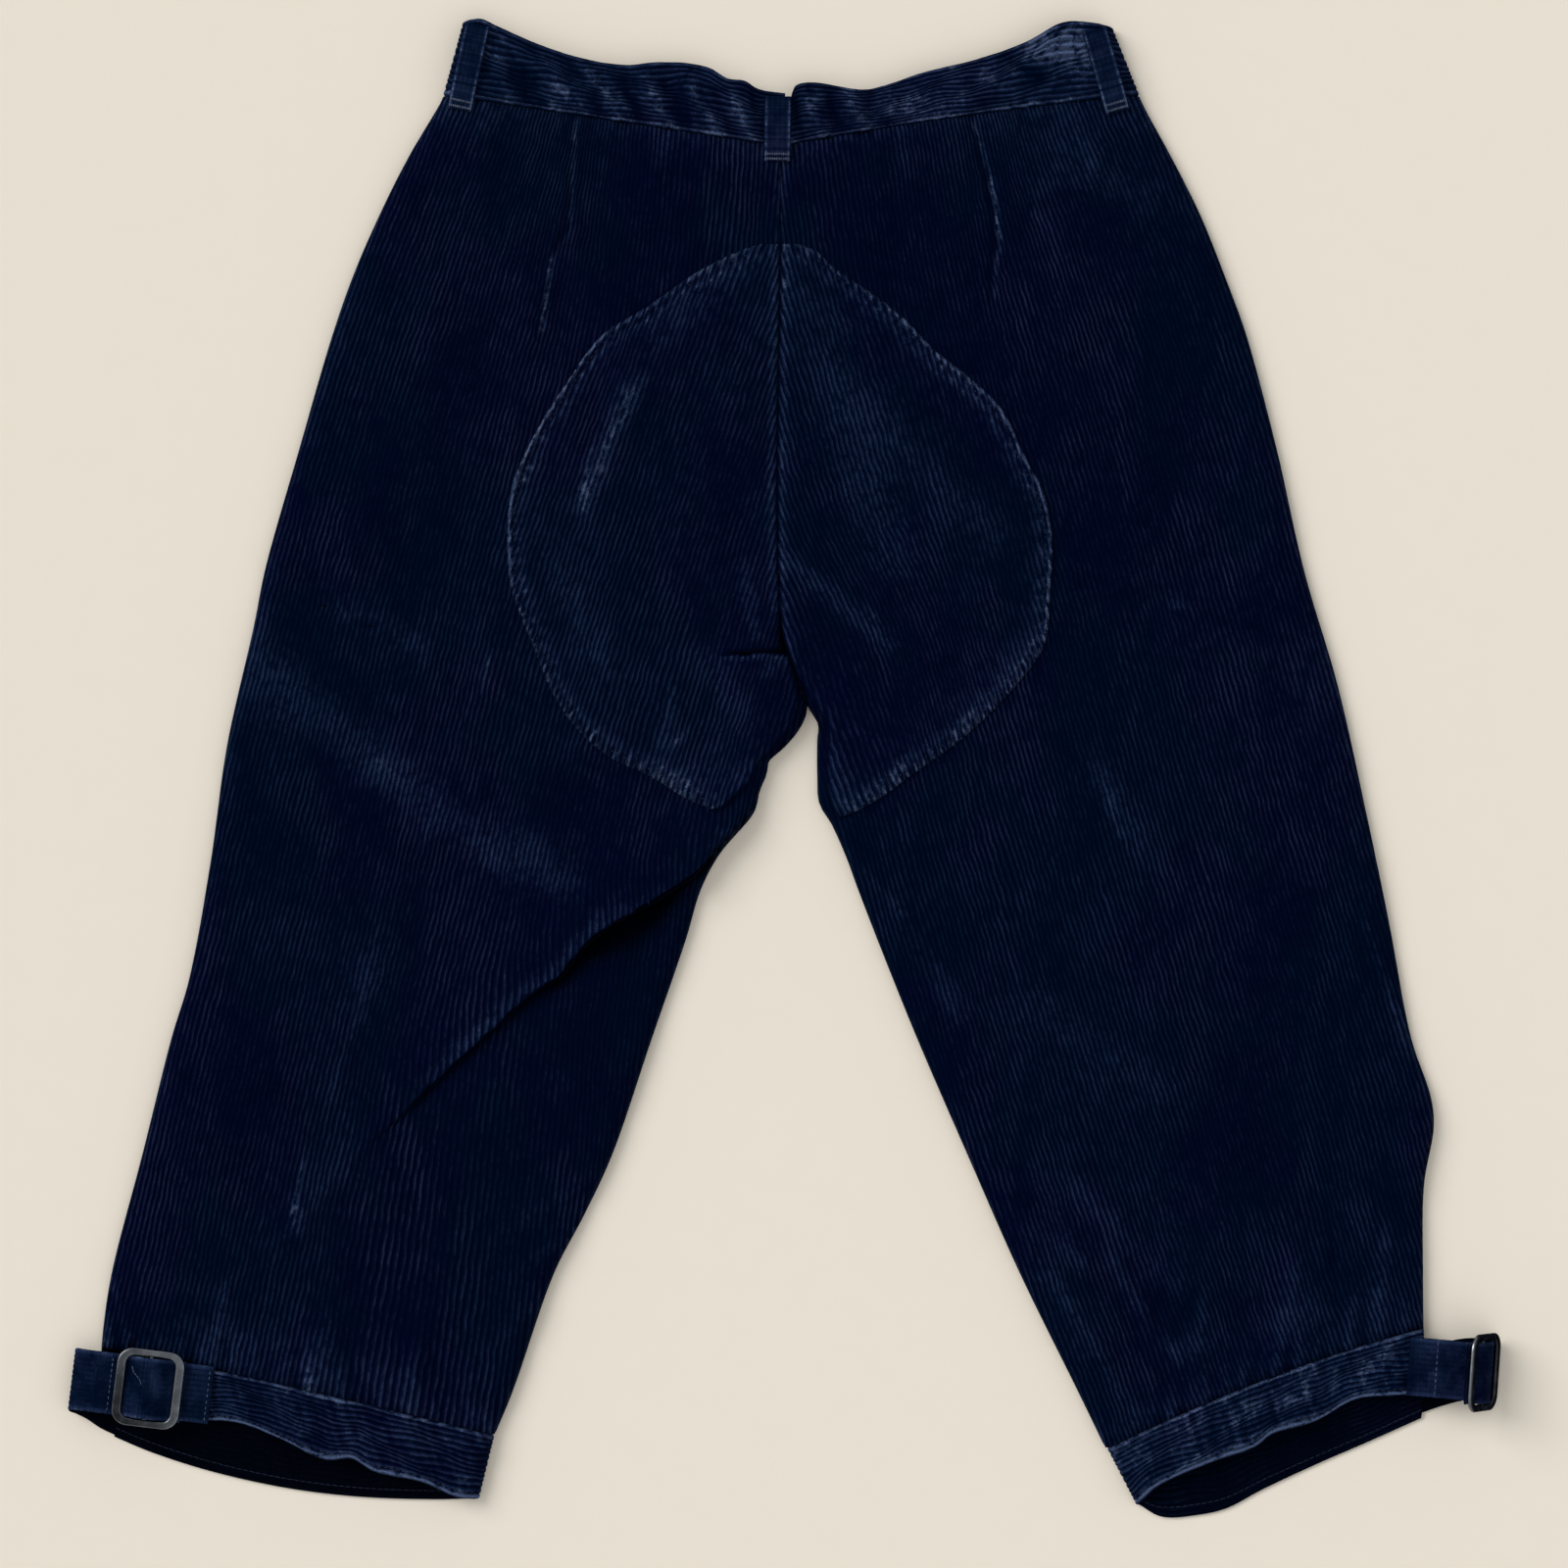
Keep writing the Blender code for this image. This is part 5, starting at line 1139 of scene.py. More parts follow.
def seat_patch(side, material):
    leg = LEGS[side]
    name = "seat_patch_" + side
    edge, seam = patch_outline(leg)
    if side == "left":
        outline = np.vstack((edge, seam[::-1]))
    else:
        outline = np.vstack((seam, edge[::-1]))
    low, high = outline.min(axis=0), outline.max(axis=0)
    wales = Wales(
        lean_field(leg["patch_leans"], 34.0), low, high, 3.0, WALE_PHASES, 120.0, leg["seed"] + 10)

    def upper(x, y, profile):
        distance = nearest(edge, x, y)[0]
        relief = WALE_RISE * wale_strength(leg, x, y) * (profile - 0.6) * np.clip(distance / 1.2, 0.2, 1)
        z = patch_height(leg, edge, x, y) + PATCH * rounding(distance, 1.3) + relief
        x = x + sway(leg, x, y) * np.clip(distance / 4, 0, 1)
        return np.stack((x, y, z), axis=1)

    def lower(x, y):
        return np.stack((x, y, patch_height(leg, edge, x, y) - 0.05), axis=1)

    def wear_and_painted_light(x, y):
        distance, _, along = nearest(edge, x, y)
        rim = 1.15 * np.exp(-((distance - 0.9) / 1.0) ** 2) + 0.45 * np.exp(-((distance - 5) / 4.5) ** 2)
        rim = rim - 0.40 * np.exp(-((distance - 3.2) / 0.9) ** 2)
        rim = rim + 0.38 * pucker(along * PATCH_ROUND, distance - 4, 6.0, 4.5, leg["seed"] + 6)
        at_seam = nearest(seam, x, y)[0]
        above = np.interp(y, (40, 80), (0.12, 0.55))
        rim = rim + above * np.exp(-((at_seam - 2) / 3) ** 2) - 0.8 * np.exp(-(at_seam / 0.8) ** 2)
        # Painted light and shade on the patch's folds, raised ones paler.
        rim = rim + 0.16 * streaks(leg["patch_folds"], "rise", x, y) + 0.13
        # At the flat fold: a painted highlight on the lip of the lower side, painted shade just above the fold, and
        # painted shade in the hollow beside the seam.
        if leg["long_fold"]:
            gap, below, share = nearest(np.array(FLAT_FOLD, dtype=float), x, y)
            inside_fold = np.clip(share * 4, 0, 1)
            rim = rim + inside_fold * np.where(
                below >= 0, 0.6 * np.exp(-((gap - 1.2) / 1.6) ** 2), -1.3 * np.exp(-(gap / 2.4) ** 2))
            rim = rim - 1.4 * np.exp(-((x - 1) / 5) ** 2 - ((y - 67) / 9) ** 2)
        return 0.85 * streaks(leg["patch_wear_and_sheen"], "strength", x, y) + rim

    extra = []
    if leg["long_fold"]:
        line = smooth_line(FLAT_FOLD, 1.0)
        extra = [line[2:] + np.array((0, rise)) for rise in (-1.4, -0.2, 0.7, 1.7)]
        extra = [run[run[:, 0] < across_line(seam, run[:, 1]) - 1.5] for run in extra]

    item = shell(
        name + "_cloth", outline, wales, WALE_SHAPE, upper, lower, lambda rim: rim, wear_and_painted_light, extra)
    finish_cloth(
        item, material, name, 0.029 if side == "left" else 0.0275, ["back_%s_cloth" % side])
    return item, edge, seam


# Bands and straps, whose wales run along them
def band_profile(width, phases, shape):
    """Places across a band from 0 to 1, and the wales' height there."""
    count = max(int(round(width / WALE)), 2)
    number = np.repeat(np.arange(count), len(phases)) + np.tile(phases, count)
    number = np.append(number, count)
    height = np.append(np.tile(shape, count), shape[0])
    return number / count, number, height


def band_strip(name, low, high, thickness, width, material, node, flat, area, rests_on,
               bend=None, wear_and_painted_light=None, inner_every=4, relief=WALE_RISE, flip=1.0, sways=0.0, faint=None, inside=0.93):
    """A closed band between two edge lines, with wales along its outer face."""
    low, high = np.asarray(low), np.asarray(high)
    share, number, height = band_profile(width, WALE_PHASES, WALE_SHAPE)
    along = np.gradient((low + high) / 2, axis=0)
    facing = np.cross(along, high - low) * flip
    facing /= np.linalg.norm(facing, axis=1)[:, None]
    reach = np.concatenate(([0], np.cumsum(np.linalg.norm(np.diff((low + high) / 2, axis=0), axis=1))))
    edge_fade = rounding(np.minimum(share, 1 - share) * width, thickness / 2)
    waving = waver(reach[:, None], share[None] * width, turns(7, 26.0, 5))
    waving = waving + 0.5 * waver(reach[:, None] * 2.1, share[None] * width, turns(5, 26.0, 9))
    swayed = share[None] + sways * waving * (4 * share * (1 - share))[None]
    middle = low[:, None] + (high - low)[:, None] * swayed[:, :, None]
    if bend is not None:
        middle = middle + bend(middle, facing[:, None])
    half = thickness / 2 * (0.25 + 0.75 * edge_fade)
    out = half + relief * (height - 0.6) * edge_fade
    outer = middle + facing[:, None] * out[None, :, None]
    outer[..., 2] = np.maximum(outer[..., 2], 0.0)
    columns = list(range(0, len(share), inner_every))
    if columns[-1] != len(share) - 1:
        columns.append(len(share) - 1)
    inner = (middle - facing[:, None] * half[None, :, None])[:, columns]
    rows, wide, narrow = len(low), len(share), len(columns)
    outer_index = np.arange(rows * wide).reshape(rows, wide)
    inner_index = rows * wide + np.arange(rows * narrow).reshape(rows, narrow)
    faces = [
        (int(a), int(b), int(c), int(d)) for a, b, c, d in zip(
            outer_index[:-1, :-1].ravel(), outer_index[:-1, 1:].ravel(),
            outer_index[1:, 1:].ravel(), outer_index[1:, :-1].ravel())]
    faces += [
        (int(a), int(b), int(c), int(d)) for a, b, c, d in zip(
            inner_index[:-1, :-1].ravel(), inner_index[1:, :-1].ravel(),
            inner_index[1:, 1:].ravel(), inner_index[:-1, 1:].ravel())]
    for row in range(rows - 1):
        for outside, within in ((0, 0), (wide - 1, narrow - 1)):
            faces.append((
                int(outer_index[row, outside]), int(outer_index[row + 1, outside]),
                int(inner_index[row + 1, within]), int(inner_index[row, within])))
    for row in (0, rows - 1):
        faces.append(tuple(
            [int(outer_index[row, column]) for column in range(wide)]
            + [int(inner_index[row, column]) for column in range(narrow - 1, -1, -1)]))
    points = np.vstack((outer.reshape(-1, 3), inner.reshape(-1, 3)))
    item = mesh_object(name, points, faces)
    bm = bmesh.new()
    bm.from_mesh(item.data)
    bmesh.ops.triangulate(bm, faces=[face for face in bm.faces if len(face.verts) > 4])
    bm.to_mesh(item.data)
    bm.free()
    if faint is not None:
        number = 0.34 + faint * height
    numbers = np.concatenate((np.tile(number, rows), np.tile(number[columns], rows)))
    lengths = np.concatenate((np.repeat(reach, wide), np.repeat(reach, narrow)))
    places = outer.reshape(-1, 3)
    base = wear_and_painted_light(places[:, 0], places[:, 1], np.tile(share, rows)) if wear_and_painted_light else np.full(len(places), 0.2)
    paint(item, numbers, lengths,
          np.concatenate((base, np.zeros(rows * narrow))),
          np.concatenate((np.zeros(len(places)), np.full(rows * narrow, inside))))
    finish_cloth(item, material, node, area, rests_on)
    return outer, share


def seam_y(line, x, gap):
    order = np.argsort(line[:, 0])
    return np.interp(x, line[order, 0], line[order, 1]) + gap


def edge_at(edges, x):
    """Place of a band's free edge beside a place along its seam."""
    order = np.argsort(edges["x"])
    points = np.stack((edges["x"][order], edges["edge_x"][order], edges["edge_y"][order]), axis=1)
    line = smooth_line(points, 1.0)
    return np.interp(x, line[:, 0], line[:, 1]), np.interp(x, line[:, 0], line[:, 2])


def band_path(leg, over_line, under_line, over, under, gap, inward_way, first_x, last_x, step, under_step):
    """Seam and free edge of a band: upper layer, turn round the fold, lower layer."""
    edge_x = over["x"][-1]
    turn_x = edge_x + inward_way * EDGE_RADIUS
    upper_x = np.linspace(first_x, turn_x, max(int(abs(first_x - turn_x) / step), 2) + 1)[:-1]
    half = BAND / 2

    def points(x, line, edges):
        low = np.array((x, float(seam_y(line, x, gap))))
        high = np.array([float(value) for value in edge_at(edges, x)])
        return low, high

    lows, highs = [], []
    over_x, over_y = edge_at(over, upper_x)
    seam_low = seam_y(over_line, upper_x, gap)
    lows += [(x, y, float(loft(leg, np.array([x]), np.array([y]))[0]) + BAND_PROUD - half)
             for x, y in zip(upper_x, seam_low)]
    highs += [(x, y, float(loft(leg, np.array([x]), np.array([y]))[0]) + BAND_PROUD - half)
              for x, y in zip(over_x, over_y)]
    low, high = points(turn_x, over_line, over)
    tops = [float(loft(leg, np.array([p[0]]), np.array([p[1]]))[0]) + BAND_PROUD - half for p in (low, high)]
    for angle in range(90, -91, -12):
        bend = math.radians(angle)
        reach = half + ((EDGE_RADIUS if angle >= 0 else TURN_UNDER) - half) * (1 - math.cos(bend))
        pair = points(edge_x + inward_way * reach, *((over_line, over) if angle >= 0 else (under_line, under)))
        for place, top, rows in zip(pair, tops, (lows, highs)):
            rise = top - TURN_MIDDLE if angle >= 0 else TURN_MIDDLE - half
            rows.append((place[0], place[1], TURN_MIDDLE + rise * math.sin(bend)))
    under_x = np.linspace(
        edge_x + inward_way * TURN_UNDER, last_x, max(int(abs(last_x - edge_x) / under_step), 2) + 1)[1:]
    seam_low = seam_y(under_line, under_x, gap)
    edge_low_x, edge_low_y = edge_at(under, under_x)
    lows += [(x, y, half) for x, y in zip(under_x, seam_low)]
    highs += [(x, y, half) for x, y in zip(edge_low_x, edge_low_y)]
    return np.array(lows), np.array(highs)


def waistband(side, material):
    leg = LEGS[side]
    name = "waistband_" + side
    over, under = (WAIST_LEFT, WAIST_FRONT_LEFT) if side == "left" else (WAIST_RIGHT, WAIST_FRONT_RIGHT)
    low, high = band_path(
        leg, row_line(leg, leg["waist"]), row_line(leg, leg["front_waist"]), over, under, SEAM_GAP,
        -leg["sign"], over["x"][0], over["x"][0], 1.6, 4.0)

    def bend(middle, facing):
        x, y, z = middle[..., 0], middle[..., 1], middle[..., 2]
        share = np.interp(x, RIPPLES["x"], RIPPLES["share"])
        rise = RIPPLE_RISE * share * np.sin(2 * math.pi * (x + 0.12 * (y - 320)) / RIPPLE_PITCH)
        rise = rise + 1.5 * streaks(WAIST_FOLDS, "rise", x, y) + 0.35 * waver(x * 2.5, y * 1.5, leg["waves"])
        rise = rise + 0.30 * pucker(x, 0, 6.5, 5.0, leg["seed"] + 7)
        return facing * (rise * np.clip((z - 5) / 3, 0, 1))[..., None]

    def wear_and_painted_light(x, y, share):
        total = 0.35 * np.exp(-((share - 1.0) / 0.04) ** 2) + 0.45 * np.exp(-((share - 0.04) / 0.04) ** 2)
        # Painted light and shade on the band's wrinkles, raised ones paler; the even lift is wear.
        total = total + 0.42 * streaks(WAIST_FOLDS, "rise", x, y) + 0.44
        total = total + 0.22 * waver(x * 1.6, y * 2.4, leg["waves"])
        total = total + 0.18 * waver(x * 4.0 + y * 2, y * 4.5, leg["waves"])
        smooth = np.exp(-((x - 144) / 16) ** 2 - ((y - 366) / 11) ** 2)
        smooth = smooth + 0.6 * np.exp(-((x - 65) / 20) ** 2 - ((y - 337) / 8) ** 2)
        return total + 1.1 * smooth

    return band_strip(
        name + "_cloth", low, high, BAND, 35.0, material, name, (0.36, 0.036), 0.0108,
        ["back_%s_cloth" % side], bend, wear_and_painted_light, flip=leg["sign"], sways=0.045)


def knee_band(side, material):
    leg = LEGS[side]
    name = "knee_band_" + side
    over, under = (
        (KNEE_OVER_LEFT, KNEE_UNDER_LEFT) if side == "left" else (KNEE_OVER_RIGHT, KNEE_UNDER_RIGHT))
    low, high = band_path(
        leg, row_line(leg, leg["knee"]), row_line(leg, leg["front_knee"]), over, under, -SEAM_GAP,
        leg["sign"], over["x"][0], under["x"][0], 1.6, 3.0)

    def bend(middle, facing):
        x, y, z = middle[..., 0], middle[..., 1], middle[..., 2]
        rise = streaks(KNEE_FOLDS, "rise", x, y) + 0.35 * waver(x * 2.5, y * 1.5, leg["waves"])
        rise = rise + 0.55 * pucker(x + 0.3 * y, 0, 6.0, 5.0, leg["seed"] + 8)
        return facing * (rise * np.clip((z - 5) / 3, 0, 1))[..., None]

    def wear_and_painted_light(x, y, share):
        total = 2.5 * np.exp(-((share - 1.0) / 0.065) ** 2) + 0.80 * np.exp(-(share / 0.06) ** 2)
        # Painted light and shade on the knee band's folds and gathers, raised places paler.
        total = total + 0.22 * streaks(KNEE_FOLDS, "rise", x, y) + (0.40 if side == "left" else 0.62)
        total = total + 0.16 * pucker(x + 0.3 * y, 0, 6.0, 5.0, leg["seed"] + 8)
        total = total + 0.22 * waver(x * 4.0 + y, y * 5.0, leg["waves"])
        return total + 0.22 * waver(x * 1.6, y * 2.4, leg["waves"])

    # The inner face, which shows on the under-layer at the knee, is blended towards the near-black wrong-side colour
    # as painted shade, less on the right.
    outer, share = band_strip(
        name + "_cloth", low, high, BAND, 31.0, material, name, (0.37, 0.033), 0.0105,
        ["front_%s_cloth" % side], bend, wear_and_painted_light, flip=leg["sign"], sways=0.04,
        inside=0.93 if side == "left" else 0.62)
    under = low[:, 2] < BAND / 2 + 0.01
    hem = low[under] + (high[under] - low[under]) * HEM_STITCHES
    return outer, share, hem + np.array((0, 0, BAND / 2 + 0.1))


def belt_loop(name, material):
    """A strip over the waistband, sewn down at its top and its foot."""
    top, foot, width = LOOPS[name]
    top, foot = np.array(top), np.array(foot)
    leg = LEGS["right" if name == "loop_right" else "left"]
    rest = "waistband_right" if name == "loop_right" else "waistband_left"
    way = (foot - top) / np.linalg.norm(foot - top)
    square = np.array((-way[1], way[0]))
    lows, highs = [], []
    for share in np.linspace(0, 1, 30):
        centre = top + (foot - top) * share
        ends = []
        for side in (-0.5, 0.5):
            x, y = centre + square * width * side
            base = 0.0
            for other in LEGS.values():
                lower = np.array([x]), np.array([y])
                base = max(base, float(loft(other, *lower)[0]))
            held = min(max((centre[1] - foot[1]) / 12, 0), 1)
            base += (BAND_PROUD + WALE_RISE) * held + 0.35
            ends.append((x, y, base + LOOP_ARCH * math.sin(math.pi * share) ** 0.5 + LOOP / 2))
        lows.append(ends[0])
        highs.append(ends[1])

    def wear_and_painted_light(x, y, share):
        return 0.34 + 0.9 * np.exp(-((np.minimum(share, 1 - share) - 0.07) / 0.05) ** 2)

    return band_strip(
        name + "_cloth", np.array(lows), np.array(highs), LOOP, width, material, name,
        (0.013, 0.042), None, [rest + "_cloth"], None, wear_and_painted_light, relief=0.2, faint=0.05)


def slider_place(slider, out, z, along):
    lean = math.radians(slider["lean"])
    bars = np.array((-math.sin(lean), math.cos(lean)))
    way = np.array((math.cos(lean), math.sin(lean))) * slider["out"]
    x, y = np.array(slider["centre"]) + way * out + bars * along
    return (x, y, z)


def on_slider(slider, across_slider, off):
    tilt = math.radians(slider["tilt"])
    out = -across_slider * math.cos(tilt) + off * math.sin(tilt)
    z = slider["height"] + across_slider * math.sin(tilt) + off * math.cos(tilt)
    return out, z


def strap(side, material):
    slider = SLIDERS[side]
    name = "strap_" + side
    rows = [tuple(row) for row in zip(*STRAP_REACH[side].values())]
    for across_slider, off in zip(*STRAP_THROUGH.values()):
        out, z = on_slider(slider, across_slider, off)
        rows.append((out, z, -STRAP_HALF, STRAP_HALF))
    rows = smooth_line(rows, 1.0)
    low = [slider_place(slider, out, z, low) for out, z, low, _ in rows]
    high = [slider_place(slider, out, z, high) for out, z, _, high in rows]

    def wear_and_painted_light(x, y, share):
        mottling = 0.14 * waver(x * 3.0, y * 3.0, LEGS[side]["waves"])
        return 0.20 + mottling + 0.6 * np.exp(-(np.minimum(share, 1 - share) / 0.06) ** 2)

    return band_strip(
        name + "_cloth", low, high, STRAP, 2 * STRAP_HALF, material, name,
        (0.032, 0.085 if side == "left" else 0.07), None, ["knee_band_%s_cloth" % side], None, wear_and_painted_light,
        relief=0.3, flip=-slider["out"], faint=0.22)


def slider_tab(side, material):
    slider = SLIDERS[side]
    name = "slider_tab_" + side
    bar_out, bar_z = on_slider(slider, 0.0, -SLIDER_MIDDLE_DROP)
    radius = SLIDER_MIDDLE_BAR / 2 + SEAM_GAP + TAB / 2
    runs = list(zip(*TAB_UPPER[side].values()))
    for angle in TAB_TURN:
        turn = math.radians(angle)
        runs.append((bar_out + radius * math.cos(turn), bar_z + radius * math.sin(turn)))
    runs += list(zip(*TAB_LOWER[side].values()))
    runs = smooth_line(runs, 1.0)
    low = [slider_place(slider, out, z, -TAB_HALF) for out, z in runs]
    high = [slider_place(slider, out, z, TAB_HALF) for out, z in runs]

    def wear_and_painted_light(x, y, share):
        mottling = 0.14 * waver(x * 3.0, y * 3.0, LEGS[side]["waves"])
        return 0.20 + mottling + 0.5 * np.exp(-(np.minimum(share, 1 - share) / 0.06) ** 2)

    return band_strip(
        name + "_cloth", low, high, TAB, 2 * TAB_HALF, material, name,
        (0.03, 0.075), None, ["knee_band_%s_cloth" % side], None, wear_and_painted_light, relief=0.25,
        flip=slider["out"], faint=0.20)


def fly_shield(material):
    name = "fly_shield"
    base = CLOTH + SEAM_GAP + FLY["thick"] / 2
    ys = np.linspace(FLY["top"], FLY["foot"], 60)
    low = [(FLY["left"], y, base) for y in ys]
    high = [(FLY["right"], y, base) for y in ys]
    return band_strip(
        name + "_cloth", low, high, FLY["thick"], FLY["right"] - FLY["left"], material, name,
        (0.037, 0.186), None, ["front_left_cloth"], relief=0.2)


# Hard parts
def deselect_all():
    if bpy.context.object and bpy.context.object.mode != "OBJECT":
        bpy.ops.object.mode_set(mode="OBJECT")
    bpy.ops.object.select_all(action="DESELECT")


def painted_highlight_of(vertex, facing, place):
    """Painted highlight on the plating: most on the rims, the upper and right-hand bars."""
    x, y = vertex.co.x / MM - place["centre"][0], vertex.co.y / MM - place["centre"][1]
    rim = max(0.0, 1 - abs(vertex.normal.dot(facing)) * 1.1)
    if place["out"] > 0:
        return rim * (0.55 if x < -5 else 0.05)
    return rim * 1.4 + 0.20 * min(max(x / 14, 0), 1) + 0.16 * min(max((y - 8) / 10, 0), 1)


def slider(side, metal):
    """A flat rounded frame with its middle bar, made at the origin and set in place."""
    name = "slider_" + side
    place = SLIDERS[side]
    deselect_all()
    bpy.ops.mesh.primitive_cube_add(size=1)
    item = bpy.context.object
    item.name = name + "_frame"
    item.scale = (SLIDER_WIDE * MM, SLIDER_LONG * MM, SLIDER_THICK * MM)
    bpy.ops.object.transform_apply(location=False, rotation=False, scale=True)
    bpy.ops.object.mode_set(mode="EDIT")
    bpy.ops.mesh.select_mode(type="EDGE")
    bpy.ops.mesh.select_all(action="DESELECT")
    bm = bmesh.from_edit_mesh(item.data)
    for edge in bm.edges:
        a, b = edge.verts
        edge.select_set(abs(a.co.z - b.co.z) > SLIDER_THICK * MM / 2)
    bmesh.update_edit_mesh(item.data)
    bpy.ops.mesh.bevel(offset=SLIDER_CORNER * MM, segments=10, affect="EDGES")
    bpy.ops.mesh.select_mode(type="FACE")
    bpy.ops.mesh.select_all(action="DESELECT")
    bm = bmesh.from_edit_mesh(item.data)
    for face in bm.faces:
        face.select_set(abs(face.normal.z) > 0.9)
    bmesh.update_edit_mesh(item.data)
    bpy.ops.mesh.inset(thickness=SLIDER_END_BAR * MM, use_even_offset=True)
    narrow = (SLIDER_WIDE - 2 * SLIDER_SIDE_BAR) / (SLIDER_WIDE - 2 * SLIDER_END_BAR)
    bpy.ops.transform.resize(value=(narrow, 1, 1), center_override=(0, 0, 0))
    bpy.ops.mesh.bridge_edge_loops()
    bpy.ops.object.mode_set(mode="OBJECT")
    soften = item.modifiers.new("soften", "BEVEL")
    soften.width = 0.95 * MM
    soften.segments = 4
    soften.limit_method = "ANGLE"
    soften.angle_limit = math.radians(40)
    bpy.ops.object.modifier_apply(modifier="soften")
    deselect_all()
    bpy.ops.mesh.primitive_cylinder_add(
        vertices=20, radius=SLIDER_MIDDLE_BAR / 2 * MM, depth=(SLIDER_LONG - SLIDER_END_BAR) * MM,
        location=(0, 0, -SLIDER_MIDDLE_DROP * MM), rotation=(math.pi / 2, 0, 0))
    bar = bpy.context.object
    join = item.modifiers.new("join", "BOOLEAN")
    join.operation = "UNION"
    join.object = bar
    deselect_all()
    bpy.context.view_layer.objects.active = item
    item.select_set(True)
    bpy.ops.object.modifier_apply(modifier="join")
    bpy.data.objects.remove(bar)
    turn = math.radians(-place["tilt"] if place["out"] < 0 else place["tilt"])
    item.location = (place["centre"][0] * MM, place["centre"][1] * MM, place["height"] * MM)
    item.rotation_euler = (0, turn, math.radians(place["lean"]))
    bpy.ops.object.transform_apply(location=True, rotation=True, scale=True)
    bpy.ops.object.shade_smooth_by_angle(angle=math.radians(38))
    facing = Matrix.Rotation(math.radians(place["lean"]), 3, "Z") @ Matrix.Rotation(turn, 3, "Y") @ Vector((0, 0, 1))
    # The frame's painted highlights, on its rims and on its upper and right-hand bars, go into the same attribute as
    # the cloth's wear.
    rub_and_highlight = item.data.attributes.new("wear_and_painted_light", "FLOAT", "POINT")
    rub_and_highlight.data.foreach_set(
        "value", [painted_highlight_of(vertex, facing, place) for vertex in item.data.vertices])
    item.data.materials.clear()
    item.data.materials.append(metal)
    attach(item, "root")
    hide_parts(name)
    return item


# Stitches
def stitch_shape():
    """One short stitch along X, made once and copied."""
    deselect_all()
    bpy.ops.mesh.primitive_uv_sphere_add(segments=6, ring_count=4, radius=0.5, rotation=(0, math.pi / 2, 0))
    item = bpy.context.object
    bpy.ops.object.transform_apply(rotation=True)
    points = np.array([vertex.co[:] for vertex in item.data.vertices])
    faces = [tuple(face.vertices) for face in item.data.polygons]
    bpy.data.objects.remove(item)
    return points, faces


def stitches(name, runs, material, stitch):
    """Stitches end to end along runs of points in space: (points, length, gap, width)."""
    shape, shape_faces = stitch
    points, faces = [], []
    luck = np.random.default_rng(len(name))
    for line, length, gap, width in runs:
        fine = even_line(np.asarray(line, dtype=float), 0.5)
        reach = np.concatenate(([0], np.cumsum(np.linalg.norm(np.diff(fine, axis=0), axis=1))))
        place = gap
        while place + length < reach[-1]:
            ends = [
                np.array([np.interp(step, reach, fine[:, axis]) for axis in range(3)])
                for step in (place, place + length)]
            way = (ends[1] - ends[0]) / max(np.linalg.norm(ends[1] - ends[0]), 1e-6)
            side = np.cross((0, 0, 1), way)
            side /= max(np.linalg.norm(side), 1e-6)
            up = np.cross(way, side)
            turn = luck.uniform(-0.10, 0.10)
            way, side = way * math.cos(turn) + side * math.sin(turn), side * math.cos(turn) - way * math.sin(turn)
            frame_of = np.stack((way * length * 1.08, side * width, up * width * 0.8))
            start = len(points) * len(shape)
            points.append(shape @ frame_of + (ends[0] + ends[1]) / 2)
            faces += [tuple(start + corner for corner in face) for face in shape_faces]
            place += length + gap * luck.uniform(0.7, 1.3)
    item = mesh_object(name, np.vstack(points), faces)
    item.data.materials.append(material)
    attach(item, "root")
    return item


# Lights: place, strength and softness in degrees
LIGHTS = (
    ("key_light", (-2.6, 1.7, 2.5), 1.85, 34),
    ("fill_light", (1.8, -1.4, 3.0), 0.35, 60),
)
WORLD_STRENGTH = 0.56


def stage_and_light():
    scene = bpy.context.scene
    scene.view_settings.view_transform = "Standard"
    deselect_all()
    bpy.ops.mesh.primitive_plane_add(size=8.0, location=(0, 0, -0.0002))
    floor = bpy.context.object
    floor.name = "floor"
    floor.data.materials.append(pale_floor())
    camera = bpy.data.objects.new("camera", bpy.data.cameras.new("camera"))
    scene.collection.objects.link(camera)
    camera.data.lens = 135
    camera.data.sensor_width = 36
    camera.data.clip_end = 30
    camera.location = (0.0005, -0.008, 0.4 / (18 / 135) + 0.006)
    scene.camera = camera
    for name, place, strength, softness in LIGHTS:
        light = bpy.data.objects.new(name, bpy.data.lights.new(name, "SUN"))
        scene.collection.objects.link(light)
        light.data.energy = strength
        light.data.angle = math.radians(softness)
        light.location = place
        light.rotation_euler = (-Vector(place)).to_track_quat("-Z", "Y").to_euler()
    world = bpy.data.worlds.new("studio")
    scene.world = world
    world.use_nodes = True
    world.node_tree.nodes["Background"].inputs["Color"].default_value = (0.95, 0.97, 1.0, 1)
    world.node_tree.nodes["Background"].inputs["Strength"].default_value = WORLD_STRENGTH


def run_over(height, line, lift):
    """A line of places as points just above a surface."""
    line = np.asarray(line, dtype=float)
    z = height(line[:, 0], line[:, 1]) + lift
    return np.stack((line[:, 0], line[:, 1], z), axis=1)


def offset_line(line, amount):
    way = np.gradient(line, axis=0)
    way /= np.linalg.norm(way, axis=1)[:, None]
    return line + np.stack((-way[:, 1], way[:, 0]), axis=1) * amount


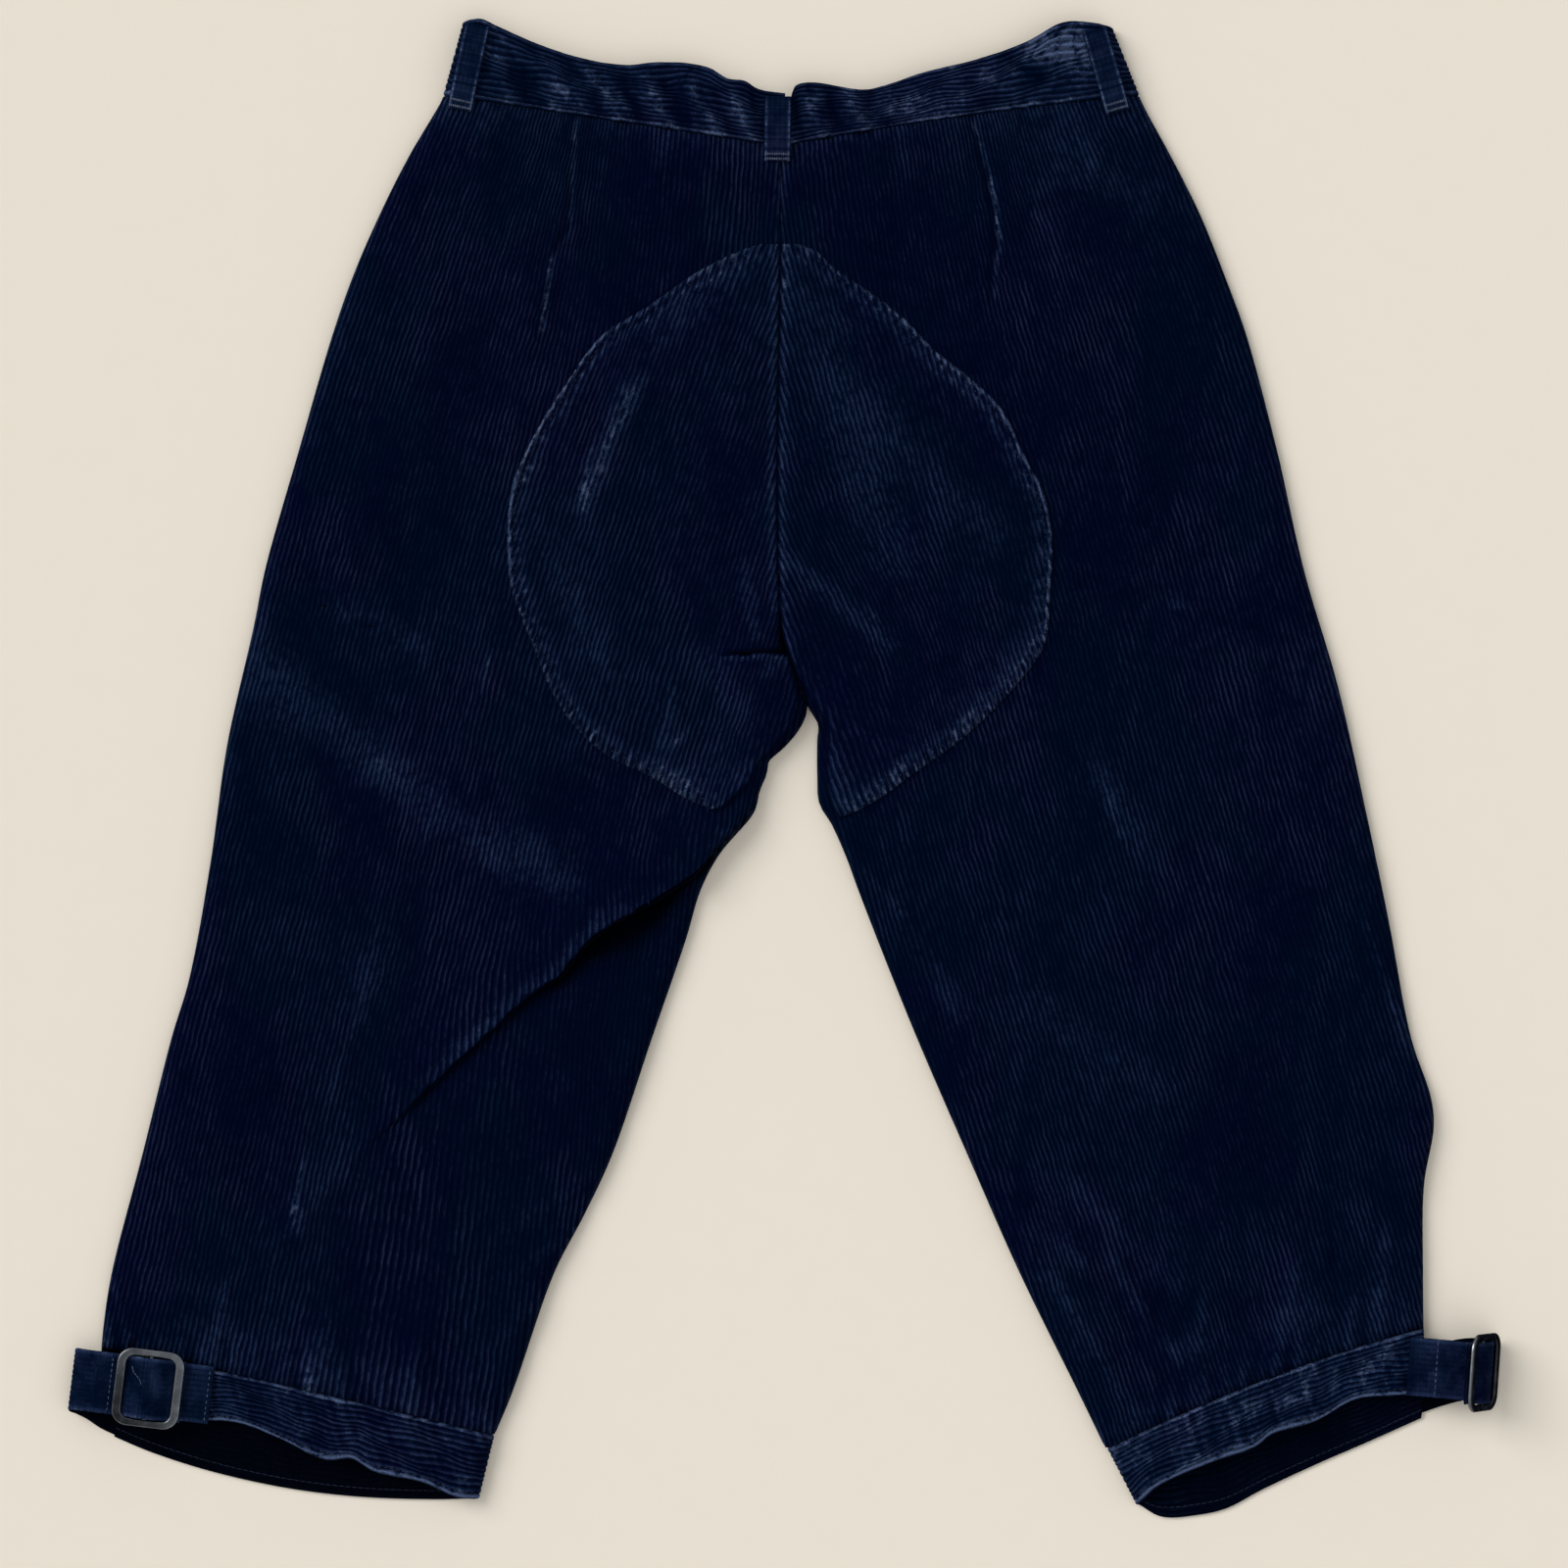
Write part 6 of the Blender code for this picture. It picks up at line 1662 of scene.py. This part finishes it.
# Stitch lines across the straps and tabs, by their place in X
TOP_LAYER = 6.0
STRAP_STITCHES = {"left": (-342.5,), "right": ()}
TAB_STITCHES = {"left": (-293.5,), "right": (329.5, 332.0)}
HEM_STITCHES = 0.86
LOOSE_THREAD = (
    (-330.6, -303.6, 18.6), (-330.4, -305.4, 18.8), (-329.6, -307.2, 19.0), (-328.2, -308.8, 19.0),
    (-326.8, -310.4, 19.0), (-326.2, -312.2, 18.9), (-326.0, -314.0, 18.7))


def column_at(share, place):
    return int(np.argmin(abs(share - place)))


def row_near(outer, place):
    """The highest run across a strip nearest to a place in X, just above its face."""
    middle = outer[:, outer.shape[1] // 2]
    high = middle[:, 2] > middle[:, 2].max() - 8.0
    row = int(np.argmin(np.where(high, abs(middle[:, 0] - place), 1e9)))
    return outer[row, 1:-1] + np.array((0, 0, 0.1))


def dress():
    cloth = corduroy()
    thread = sewing_thread("navy_thread", THREAD, THREAD_WORN)
    pale_thread = sewing_thread("worn_thread", THREAD_WORN, THREAD_PALE)
    metal = gunmetal()
    for leg in LEGS.values():
        prepare(leg)
    for side in LEGS:
        front_panel(side, cloth)
    for side in LEGS:
        back_panel(side, cloth)
    pale_runs, dark_runs = [], []
    for side, leg in LEGS.items():
        _, edge, _ = seat_patch(side, cloth)
        line = offset_line(edge, 3.4 if side == "left" else -3.4)
        height = lambda x, y, leg=leg, edge=edge: patch_height(leg, edge, x, y) + PATCH
        dark_runs.append((run_over(height, even_line(line, 1.0)[3:-3], 0.02), 2.2, 1.3, 0.36))
        if side == "left":
            seen = even_line(offset_line(edge, 0.6), 1.0)
            seen = seen[(seen[:, 1] < PALE_STITCHES[0]) & (seen[:, 1] > PALE_STITCHES[1])]
            pale_runs.append((run_over(height, seen, 0.05), 2.6, 2.6, 0.45))
    for side in LEGS:
        outer, share = waistband(side, cloth)
        top = outer[outer[:, 4, 2] > TOP_LAYER]
        dark_runs.append((top[2:, column_at(share, 0.055)] + np.array((0, 0, 0.1)), 1.9, 1.5, 0.34))
        outer, share, hem = knee_band(side, cloth)
        top = outer[outer[:, 4, 2] > TOP_LAYER]
        dark_runs.append((top[2:, column_at(share, 0.90)] + np.array((0, 0, 0.1)), 2.2, 1.1, 0.36))
        dark_runs.append((hem, 3.0, 0.3, 0.30))
        outer, share = strap(side, cloth)
        for place in STRAP_STITCHES[side]:
            pale_runs.append((row_near(outer, place), 1.8, 1.2, 0.34))
        outer, share = slider_tab(side, cloth)
        for place in TAB_STITCHES[side]:
            pale_runs.append((row_near(outer, place), 1.8, 1.2, 0.34))
        slider(side, metal)
    pale_runs.append((np.array(LOOSE_THREAD), 1.8, 0.02, 0.26))
    for name in LOOPS:
        outer, share = belt_loop(name, cloth)
        for row in (-2, -4):
            pale_runs.append((outer[row, 1:-1] + np.array((0, 0, 0.15)), 0.55, 0.35, 1.5))
    fly_shield(cloth)
    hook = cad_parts["waist_hook"]
    hook.data.materials.clear()
    hook.data.materials.append(metal)
    stitch = stitch_shape()
    stitches("patch_stitching", dark_runs, thread, stitch)
    stitches("patch_edge_stitching", pale_runs, pale_thread, stitch)


dress()
stage_and_light()
